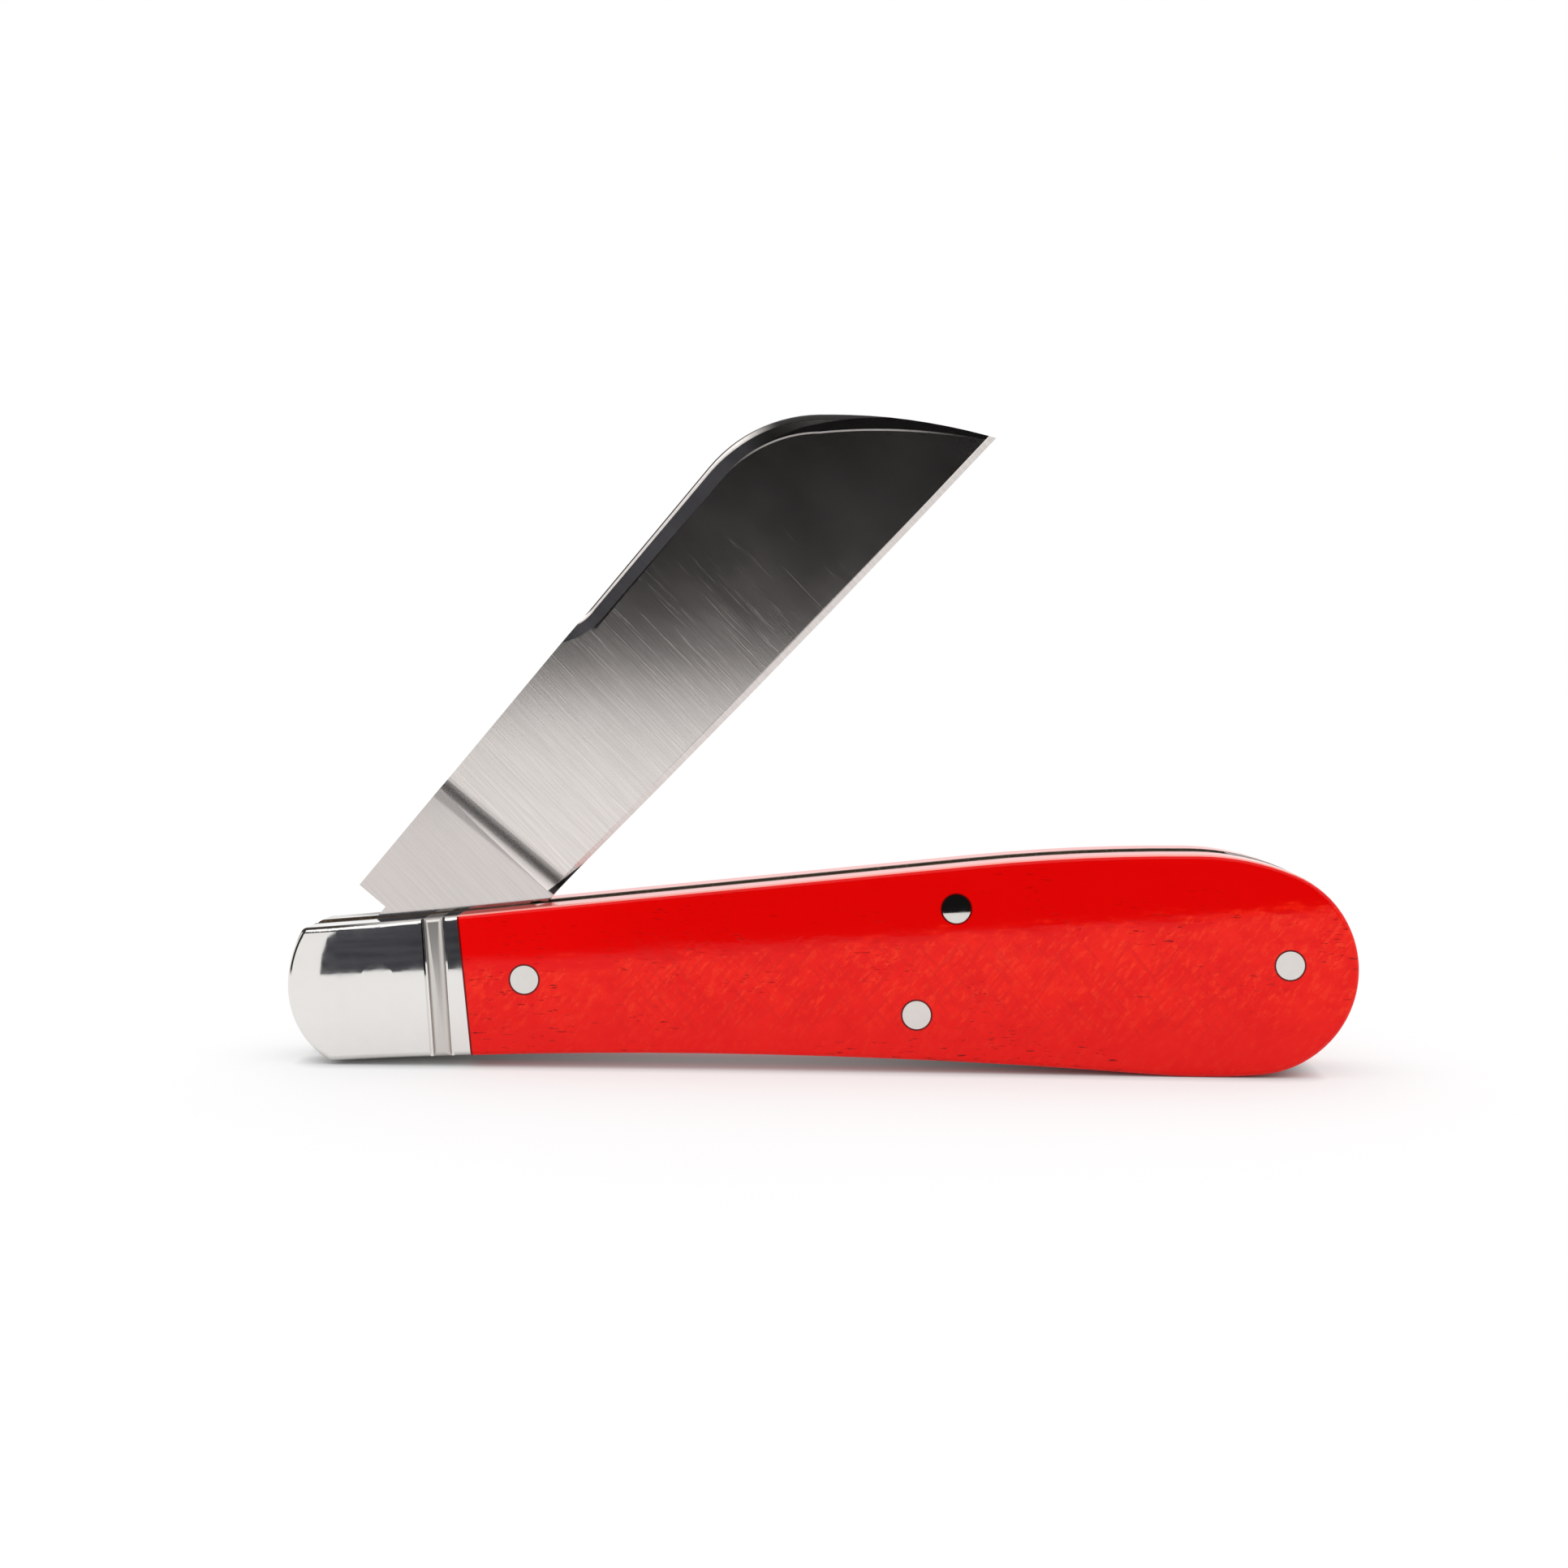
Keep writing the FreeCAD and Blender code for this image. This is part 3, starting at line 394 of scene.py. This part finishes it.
# Buffed round of the handle's sides: radius, and height and climb of its middle line, in millimetres
CROWN_RADIUS = 60.0
PIN_CROWN_RADIUS = 109.0
CROWN_MIDDLE = 8.7
CROWN_CLIMB = 0.088

# Knee of the top edge, from which the bead and the joint behind it lean down, in millimetres and degrees
KNEE = (-32.1, 0.0, 13.55)
BEAD_LEAN = 4.0
BEAD = (-3.0, -1.35)
BEAD_SOFT = 0.03
JOINT_LEAN = 5.8


def above_crown(shader, place):
    """How far a point lies above the middle line of the handle's round sides."""
    climb = shader.math("MULTIPLY", shader.axis(place, "X"), CROWN_CLIMB)
    return shader.math("SUBTRACT", shader.axis(place, "Z"), shader.math("ADD", climb, CROWN_MIDDLE))


def crown(shader, place, radius=CROWN_RADIUS):
    """Relief of the handle's sides, which are buffed round about a middle line that climbs to the butt."""
    off = above_crown(shader, place)
    square = shader.math("MULTIPLY", off, off)
    return shader.bump(shader.math("MULTIPLY", square, -1 / (2 * radius)), 1.0)


def behind_knee(shader, place, lean):
    """How far a point lies behind a line that leans down from the knee."""
    turn = math.radians(lean)
    return shader.project(shader.vector("SUBTRACT", place, KNEE), (math.cos(turn), 0.0, math.sin(turn)))


# Painted dark reflections and shade on the bolsters' edges and top: places in millimetres, and parts of the
# direction that the surface faces
NOSE_CENTRE = (-37.56, 0.0, 6.95)
NOSE_RADIUS = 9.94
NOSE_LINE = (0.22, 0.36)
NOSE_LINE_SOFT = 0.05
NOSE_LINE_BACK = (-45.0, -44.6)
NOSE_LINE_FOOT = (7.8, 8.6)
NOSE_LINE_SIDEWAYS = (0.3, 0.4)
RIM_UPWARD = (0.3, 0.4)
RIM_SIDEWAYS = (0.06, 0.76)
RIM_SOFT = 0.05
RIM_FADES = (-43.0, -37.0)
RIM_LEAST = 0.45
TOP_UPWARD = (0.95, 0.98)
TOP_FAR_STRIP = (2.3, 2.9)
TOP_DARKENS = (-45.0, -39.0)
TOP_DARKNESS = (0.3, 0.85)

# Finish of the bolsters: grain in millimetres, linear colours, roughness
BOLSTER_WAVES = {"grain": (4.0, 4.0, 2.5), "detail": 2.0}
BOLSTER_WAVE_DEPTH = 0.005
BOLSTER_WIPES = {"grain": (0.8, 0.8, 0.05), "detail": 4.0, "roughness": 0.6}
BOLSTER_WIPE_DEPTH = 0.0002
BOLSTER_HAZE = {"grain": (1.5, 1.5, 1.5), "detail": 4.0, "roughness": 0.6}
BOLSTER_COLOURS = (grey(0.74, 0.03), grey(0.79, 0.025))
BEAD_COLOUR = grey(0.62, 0.05)
# Painted dark reflection and shade on the bolsters' edges and top
BOLSTER_PAINTED_DARK = (0.036, 0.028, 0.022, 1.0)
BOLSTER_ROUGHNESS = (0.035, 0.075)
BEAD_ROUGHNESS = 0.33
BOLSTER_PAINTED_DARK_ROUGHNESS = 0.55


def nose_painted_reflection(shader, place):
    """1 on the thin painted dark reflection that follows the upper nose, just inside its edge."""
    depth = shader.math("SUBTRACT", NOSE_RADIUS, shader.away(place, NOSE_CENTRE))
    return shader.both(
        shader.band(depth, NOSE_LINE, NOSE_LINE_SOFT),
        shader.fall(shader.axis(place, "X"), NOSE_LINE_BACK),
        shader.rise(shader.axis(place, "Z"), NOSE_LINE_FOOT),
    )


def bolster_painted_shade(shader, place):
    """How dark the bolster is painted, as reflection and shade, on the round of its top, on the far strip of its
    top and at the nose.
    """
    facing = shader.facing()
    upward = shader.axis(facing, "Z")
    sideways = shader.math("ABSOLUTE", shader.axis(facing, "Y"))
    along = shader.axis(place, "X")
    rim = shader.both(
        shader.rise(upward, RIM_UPWARD),
        shader.band(sideways, RIM_SIDEWAYS, RIM_SOFT),
        shader.rise(along, RIM_FADES, 1.0, RIM_LEAST),
    )
    top = shader.both(
        shader.rise(upward, TOP_UPWARD),
        shader.rise(shader.axis(place, "Y"), TOP_FAR_STRIP),
        shader.rise(along, TOP_DARKENS, *TOP_DARKNESS),
    )
    nose = shader.both(nose_painted_reflection(shader, place), shader.rise(sideways, NOSE_LINE_SIDEWAYS))
    return shader.either(rim, top, nose)


def bolster_metal():
    """Mirror-polished white metal with a satin bead, and painted dark reflections and shade along its edges and
    top.
    """
    shader = Shader("bolster_metal", {"Metallic": 1.0})
    place = shader.place()
    haze = shader.noise(place, **BOLSTER_HAZE)
    bead = shader.band(behind_knee(shader, place, BEAD_LEAN), BEAD, BEAD_SOFT)
    # Painted dark reflection and shade on the edges and top
    dark = bolster_painted_shade(shader, place)
    metal = shader.mix(haze, *BOLSTER_COLOURS)
    metal = shader.mix(bead, metal, BEAD_COLOUR)
    shader.set("Base Color", shader.mix(dark, metal, BOLSTER_PAINTED_DARK))
    rough = shader.blend(bead, shader.spread(haze, *BOLSTER_ROUGHNESS), BEAD_ROUGHNESS)
    shader.set("Roughness", shader.blend(dark, rough, BOLSTER_PAINTED_DARK_ROUGHNESS))
    waves = shader.noise(place, **BOLSTER_WAVES)
    relief = shader.bump(waves, BOLSTER_WAVE_DEPTH, crown(shader, place))
    wipes = shader.noise(place, **BOLSTER_WIPES)
    shader.set("Normal", shader.bump(wipes, BOLSTER_WIPE_DEPTH, relief))
    return shader.material


# Colour of the scales: grain and places in millimetres and degrees, linear colours
BONE_CLOUDS = {"grain": (3.2, 3.2, 2.4), "detail": 5.0, "roughness": 0.62, "distortion": 0.4}
BONE_FLECKS = {"grain": (0.4, 0.7, 0.9), "detail": 4.0, "roughness": 0.65}
FLECK_TURN = -40
FLECK_SHOWS = (0.46, 0.74)
PATCH_SHOWS = (0.25, 0.75)
FRONT_FALLS = (-26.0, -10.0)
CLEAR_COLOURS = ((0.68, 0.0003, 0.0003, 1.0), (0.77, 0.0006, 0.0006, 1.0))
CLEAR_CLOUD_COLOUR = (0.76, 0.0008, 0.0006, 1.0)
CLEAR_CLOUD_SHARE = 0.6
# Blotchy bone colours, partly painted paler as a reflection of the floor
MOTTLED_SHEEN_COLOURS = ((0.73, 0.0012, 0.0008, 1.0), (0.85, 0.0100, 0.0028, 1.0))
FLECK_COLOUR = (0.88, 0.030, 0.0090, 1.0)
# Painted shade, darker towards the bottom of the scales
FOOT = (2.0, 8.0)
FOOT_SHARE = 0.7
FOOT_SHADE_COLOUR = (0.74, 0.0030, 0.0022, 1.0)
# Painted highlight along the scales' top round
PAINTED_HIGHLIGHT_UPWARD = (0.74, 0.965)
PAINTED_HIGHLIGHT_SOFT = 0.06
PAINTED_HIGHLIGHT_FOOT = (9.0, 10.0)
PAINTED_HIGHLIGHT_SHARE = 0.5
PAINTED_HIGHLIGHT_COLOUR = (0.96, 0.60, 0.52, 1.0)

# Shoulder of the scales' round, above which they look clear and below which the red is partly painted paler as a
# reflection of the floor: its height and wander, in millimetres
SCALE_WAVES = {"grain": (5.0, 4.0, 1.2), "detail": 3.0}
SCALE_RIPPLES = {"grain": (1.4, 1.4, 0.4), "detail": 3.0}
SHOULDER = (1.8, 3.2)
SHOULDER_WANDER = 0.7
SHOULDER_SPAN = (0.2, 0.8)

# Marks on the scales: grain, places and depths in millimetres and degrees, linear colours
SAW_GRAIN = (0.30, 1.0, 4.0)
SAW_TURNS = (40, -40)
SAW_SHOWS = (0.53, 0.66)
SAWN_LENGTH = (-14.0, 34.0)
SAWN_LENGTH_SOFT = 8.0
SAWN_HEIGHT = (4.5, 11.0)
SAWN_HEIGHT_SOFT = 2.0
SAW_SHARE = 0.5
SAW_COLOUR = (0.66, 0.0050, 0.0034, 1.0)
PORES = {"grain": (1.5, 0.6, 0.2), "detail": 3.0, "roughness": 0.65}
PORE_SHOWS = (0.61, 0.68)
PORE_FIELDS = {"grain": (8.0, 8.0, 4.0), "detail": 1.0}
PORE_FIELD_SHOWS = (0.46, 0.62)
PORES_NEAR_JOINT = (-29.0, -20.0)
MORE_PORES = 0.16
PORE_SHARES = (0.35, 0.85)
PIN_HEADS = ("front_forward_rivet", "front_upper_rivet", "centre_pin", "end_pin")
PIN_RING = (0.10, 0.20)
PIN_RING_REACH = 1.0
SEAM = (0.12, 0.22)
OUTLINE_SHARE = 0.9
MARK_COLOUR = (0.07, 0.003, 0.002, 1.0)
SCALE_WAVE_DEPTH = 0.008
SCALE_RIPPLE_DEPTH = 0.0015
SAW_DEPTH = 0.0015
MARK_DEPTH = 0.004

# Gloss of the scales: index of refraction, and roughness of the sides and of the level top
SCALE_IOR = 1.28
SCALE_TOP = (0.985, 0.997)
SCALE_ROUGHNESS = (0.08, 0.12)


def bone_red(shader, place, low):
    """The red of the bone: clear above the shoulder; below it blotchy and painted paler, partly as a reflection of
    the floor, with paler flecks and painted shade darker towards the bottom.
    """
    clouds = shader.noise(place, **BONE_CLOUDS)
    flecks = shader.noise(shader.place(turn=FLECK_TURN), **BONE_FLECKS)
    clear = shader.mix(shader.fall(shader.axis(place, "X"), FRONT_FALLS), *CLEAR_COLOURS)
    clear = shader.mix(shader.math("MULTIPLY", clouds, CLEAR_CLOUD_SHARE), clear, CLEAR_CLOUD_COLOUR)
    # Below the shoulder: blotchy bone, painted paler as a reflection of the floor
    mottled_sheen = shader.mix(shader.rise(clouds, PATCH_SHOWS), *MOTTLED_SHEEN_COLOURS)
    mottled_sheen = shader.mix(shader.rise(flecks, FLECK_SHOWS), mottled_sheen, FLECK_COLOUR)
    # Painted shade: darker towards the bottom
    foot = shader.rise(shader.axis(place, "Z"), FOOT, FOOT_SHARE, 0.0)
    mottled_sheen = shader.mix(foot, mottled_sheen, FOOT_SHADE_COLOUR)
    return shader.mix(low, clear, mottled_sheen)


def saw_marks(shader, place):
    """1 on the crossed marks of the saw, along the middle of the scale."""
    cuts = [shader.noise(shader.place(turn=turn), SAW_GRAIN) for turn in SAW_TURNS]
    marks = shader.either(*[shader.rise(cut, SAW_SHOWS) for cut in cuts])
    sawn = shader.both(
        shader.band(shader.axis(place, "X"), SAWN_LENGTH, SAWN_LENGTH_SOFT),
        shader.band(shader.axis(place, "Z"), SAWN_HEIGHT, SAWN_HEIGHT_SOFT),
    )
    return shader.both(marks, sawn)


def bone_pores(shader, place, low):
    """How dark the pores are: they gather in fields and near the joint, and fade above the shoulder."""
    pores = shader.noise(place, **PORES)
    fields = shader.noise(place, **PORE_FIELDS)
    near_joint = shader.rise(shader.axis(place, "X"), PORES_NEAR_JOINT, MORE_PORES, 0.0)
    where = shader.rise(shader.math("ADD", fields, near_joint), PORE_FIELD_SHOWS)
    return shader.both(shader.rise(pores, PORE_SHOWS), where, shader.blend(low, *PORE_SHARES))


def pin_rings(shader, place):
    """1 on a thin ring round each pin head; the heads at the rear lie behind those at the front."""
    nearest = PIN_RING_REACH
    for name in PIN_HEADS:
        low, high = (Vector(corner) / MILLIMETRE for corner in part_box(name))
        middle = (low + high) / 2
        away = shader.away(place, (middle.x, 0.0, middle.z))
        nearest = shader.math("MINIMUM", nearest, shader.math("SUBTRACT", away, (high.x - low.x) / 2))
    return shader.fall(nearest, PIN_RING)


def scale_bone():
    """Polished red bone with pores, saw marks, dark lines round the pins and along the joint, and a painted
    highlight along its top round.
    """
    shader = Shader("scale_bone", {"IOR": SCALE_IOR})
    place = shader.place()
    waves = shader.noise(place, **SCALE_WAVES)
    ripples = shader.noise(place, **SCALE_RIPPLES)
    above = above_crown(shader, place)
    for uneven in (waves, ripples):
        wander = shader.rise(uneven, SHOULDER_SPAN, -SHOULDER_WANDER, SHOULDER_WANDER)
        above = shader.math("ADD", above, wander)
    low = shader.fall(above, SHOULDER)
    sawn = saw_marks(shader, place)
    rings = shader.math("MULTIPLY", pin_rings(shader, place), OUTLINE_SHARE)
    seam = shader.rise(behind_knee(shader, place, JOINT_LEAN), SEAM, OUTLINE_SHARE, 0.0)
    marks = shader.either(bone_pores(shader, place, low), rings, seam)
    upward = shader.axis(shader.facing(), "Z")
    # Painted highlight along the top round
    painted_highlight = shader.both(
        shader.band(upward, PAINTED_HIGHLIGHT_UPWARD, PAINTED_HIGHLIGHT_SOFT),
        shader.rise(shader.axis(place, "Z"), PAINTED_HIGHLIGHT_FOOT),
        PAINTED_HIGHLIGHT_SHARE,
    )
    red = bone_red(shader, place, low)
    red = shader.mix(shader.math("MULTIPLY", sawn, SAW_SHARE), red, SAW_COLOUR)
    red = shader.mix(marks, red, MARK_COLOUR)
    shader.set("Base Color", shader.mix(painted_highlight, red, PAINTED_HIGHLIGHT_COLOUR))
    shader.set("Roughness", shader.rise(upward, SCALE_TOP, *SCALE_ROUGHNESS))
    relief = shader.bump(waves, SCALE_WAVE_DEPTH, crown(shader, place))
    relief = shader.bump(ripples, SCALE_RIPPLE_DEPTH, relief)
    relief = shader.bump(sawn, -SAW_DEPTH, relief)
    shader.set("Normal", shader.bump(marks, -MARK_DEPTH, relief))
    return shader.material


# Finish of the pins and rivets: grain in millimetres, linear colours, roughness
PIN_HAZE = {"grain": (0.5, 0.5, 0.5), "detail": 4.0, "roughness": 0.6}
PIN_WIPES = {"grain": (0.05, 0.5, 0.6), "detail": 3.0}
PIN_WIPE_DEPTH = 0.0003
PIN_COLOURS = (grey(0.63, 0.05), grey(0.69, 0.045))
PIN_ROUGHNESS = (0.015, 0.03)


def pin_metal():
    """Polished white metal, dressed flush with the scales and a little flatter than they are."""
    shader = Shader("pin_metal", {"Metallic": 1.0})
    place = shader.place()
    haze = shader.noise(place, **PIN_HAZE)
    wipes = shader.noise(place, **PIN_WIPES)
    shader.set("Base Color", shader.mix(haze, *PIN_COLOURS))
    shader.set("Roughness", shader.spread(haze, *PIN_ROUGHNESS))
    shader.set("Normal", shader.bump(wipes, PIN_WIPE_DEPTH, crown(shader, place, PIN_CROWN_RADIUS)))
    return shader.material


def dress(finishes):
    """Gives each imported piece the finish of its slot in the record."""
    slots = {part["node"]: part["material_slot"] for part in frame["record"]["subparts"]}
    for name, node in nodes.items():
        node.data.materials.clear()
        node.data.materials.append(finishes[slots[name]])


# Floor and light: metres, degrees and strengths, and the floor's own grain in millimetres
FLOOR_HALF = 3.0
FLOOR_GRAIN = (40.0, 40.0, 40.0)
FLOOR_COLOURS = (grey(0.415), grey(0.425))
FLOOR_GLOW = 0.5
CONTACT_REACH = 0.0024
CONTACT_SAMPLES = 8
WORLD_LIGHT = 1.0
SUN_LIGHT = 0.72
SUN_SPREAD = 100.0

# Dark flags on a sphere round the knife, in metres and degrees: each row has an elevation and a left end
FLAG_CENTRE = Vector((0.0, 0.0, 0.02))
FLAG_RADIUS = 0.45
FLAG_RIGHT = 36.0
FLAG_STEPS = 12
FLAG_FRONT = [
    (-2.4, -29.0),
    (2.0, -28.5),
    (4.5, -27.0),
    (6.4, -25.5),
    (7.6, -22.0),
    (8.6, -20.0),
    (9.5, -18.0),
]
FLAG_ROOF = [(9.5, -75.0), (16.0, -75.0), (23.0, -75.0), (30.0, -75.0)]

# Cloth of the flags: grain and places in millimetres, linear colours
FLAG_FOLDS = {"grain": (70.0, 70.0, 14.0), "detail": 3.0}
FLAG_LEFT = (-140.0, -70.0)
FLAG_LEFT_COLOURS = ((0.042, 0.044, 0.052, 1.0), (0.088, 0.090, 0.102, 1.0))
FLAG_COLOUR = grey(0.008)


def stage_mesh(name, points, faces, material):
    """A piece of the studio, which isn't part of the knife."""
    mesh = bpy.data.meshes.new(name)
    mesh.from_pydata(points, [], faces)
    mesh.materials.append(material)
    made = bpy.data.objects.new(name, mesh)
    bpy.context.scene.collection.objects.link(made)
    return made


def add_floor():
    """A wide white floor that glows a little, and that the knife stands on and shades where it touches."""
    shader = Shader("floor", {"Roughness": 0.9, "Specular IOR Level": 0.0, "Emission Color": grey(1.0)})
    tone = shader.noise(shader.place(), FLOOR_GRAIN)
    shader.set("Base Color", shader.mix(tone, *FLOOR_COLOURS))
    shade = shader.node("AmbientOcclusion", {"Distance": CONTACT_REACH}, samples=CONTACT_SAMPLES)
    shader.set("Emission Strength", shader.math("MULTIPLY", shade.outputs["AO"], FLOOR_GLOW))
    corners = [(x * FLOOR_HALF, y * FLOOR_HALF, 0.0) for x, y in ((-1, -1), (1, -1), (1, 1), (-1, 1))]
    stage_mesh("floor", corners, [(0, 1, 2, 3)], shader.material)


def toward(azimuth, elevation):
    """A place on the flags' sphere; azimuth 0 is straight ahead of the knife, and grows to the right."""
    turn = math.radians(azimuth)
    rise = math.radians(elevation)
    ahead = Vector((math.sin(turn) * math.cos(rise), -math.cos(turn) * math.cos(rise), math.sin(rise)))
    return FLAG_CENTRE + ahead * FLAG_RADIUS


def add_flag(name, rows, material):
    """A dark curved card that shows only in reflections."""
    points = []
    for elevation, left in rows:
        for step in range(FLAG_STEPS + 1):
            points.append(toward(left + (FLAG_RIGHT - left) * step / FLAG_STEPS, elevation))
    faces = []
    across = FLAG_STEPS + 1
    for row in range(len(rows) - 1):
        first = row * across
        faces += [(i, i + 1, i + across + 1, i + across) for i in range(first, first + FLAG_STEPS)]
    card = stage_mesh(name, points, faces, material)
    card.visible_camera = False
    card.visible_diffuse = False
    card.visible_shadow = False
    card.visible_transmission = False


def add_flags():
    """The dark front of a white tent and a dark stretch of its roof, with faint folds on the left."""
    shader = Shader("flag", {"Roughness": 1.0, "Specular IOR Level": 0.0})
    place = shader.place()
    folds = shader.spread(shader.noise(place, **FLAG_FOLDS))
    left = shader.fall(shader.axis(place, "X"), FLAG_LEFT)
    shader.set("Base Color", shader.mix(left, FLAG_COLOUR, shader.mix(folds, *FLAG_LEFT_COLOURS)))
    add_flag("flag_front", FLAG_FRONT, shader.material)
    add_flag("flag_roof", FLAG_ROOF, shader.material)


def add_studio():
    """Even white light from all round, with one wide soft light from straight above."""
    world = bpy.data.worlds.new("studio")
    world.use_nodes = True
    background = world.node_tree.nodes["Background"]
    background.inputs["Color"].default_value = grey(1.0)
    background.inputs["Strength"].default_value = WORLD_LIGHT
    bpy.context.scene.world = world
    world.cycles.sampling_method = "NONE"
    data = bpy.data.lights.new("overhead", "SUN")
    data.energy = SUN_LIGHT
    data.angle = math.radians(SUN_SPREAD)
    lamp = bpy.data.objects.new("overhead", data)
    bpy.context.scene.collection.objects.link(lamp)


# Camera, placed from the photograph's viewing angle: metres and degrees, and the lens in millimetres
CAMERA_TARGET = Vector((-0.003272, 0.0, 0.025244))
CAMERA_DISTANCE = 0.195
CAMERA_AZIMUTH = 2.2
CAMERA_PITCH = 3.1
CAMERA_ROLL = 0.42
CAMERA_LENS = 49.49
CAMERA_NEAR = 0.01
CAMERA_FAR = 20.0


def add_camera():
    """A camera that looks at its target from the given side, turned a little about its line of sight."""
    azimuth = math.radians(CAMERA_AZIMUTH)
    pitch = math.radians(CAMERA_PITCH)
    level_back = Vector((math.sin(azimuth), -math.cos(azimuth), 0.0))
    back = level_back * math.cos(pitch) + Vector((0.0, 0.0, math.sin(pitch)))
    level = (-back).to_track_quat("-Z", "Y")
    data = bpy.data.cameras.new("camera")
    data.lens = CAMERA_LENS
    data.clip_start = CAMERA_NEAR
    data.clip_end = CAMERA_FAR
    camera = bpy.data.objects.new("camera", data)
    camera.location = CAMERA_TARGET + back * CAMERA_DISTANCE
    camera.rotation_mode = "QUATERNION"
    camera.rotation_quaternion = level @ Quaternion((0.0, 0.0, 1.0), math.radians(CAMERA_ROLL))
    bpy.context.scene.collection.objects.link(camera)
    bpy.context.scene.camera = camera


dress({
    "blade_steel": blade_steel(),
    "spring_steel": spring_steel(),
    "liner_brass": liner_brass(),
    "bolster_metal": bolster_metal(),
    "scale_bone": scale_bone(),
    "pin_metal": pin_metal(),
})
add_floor()
add_flags()
add_studio()
add_camera()
bpy.context.scene.view_settings.view_transform = "Standard"
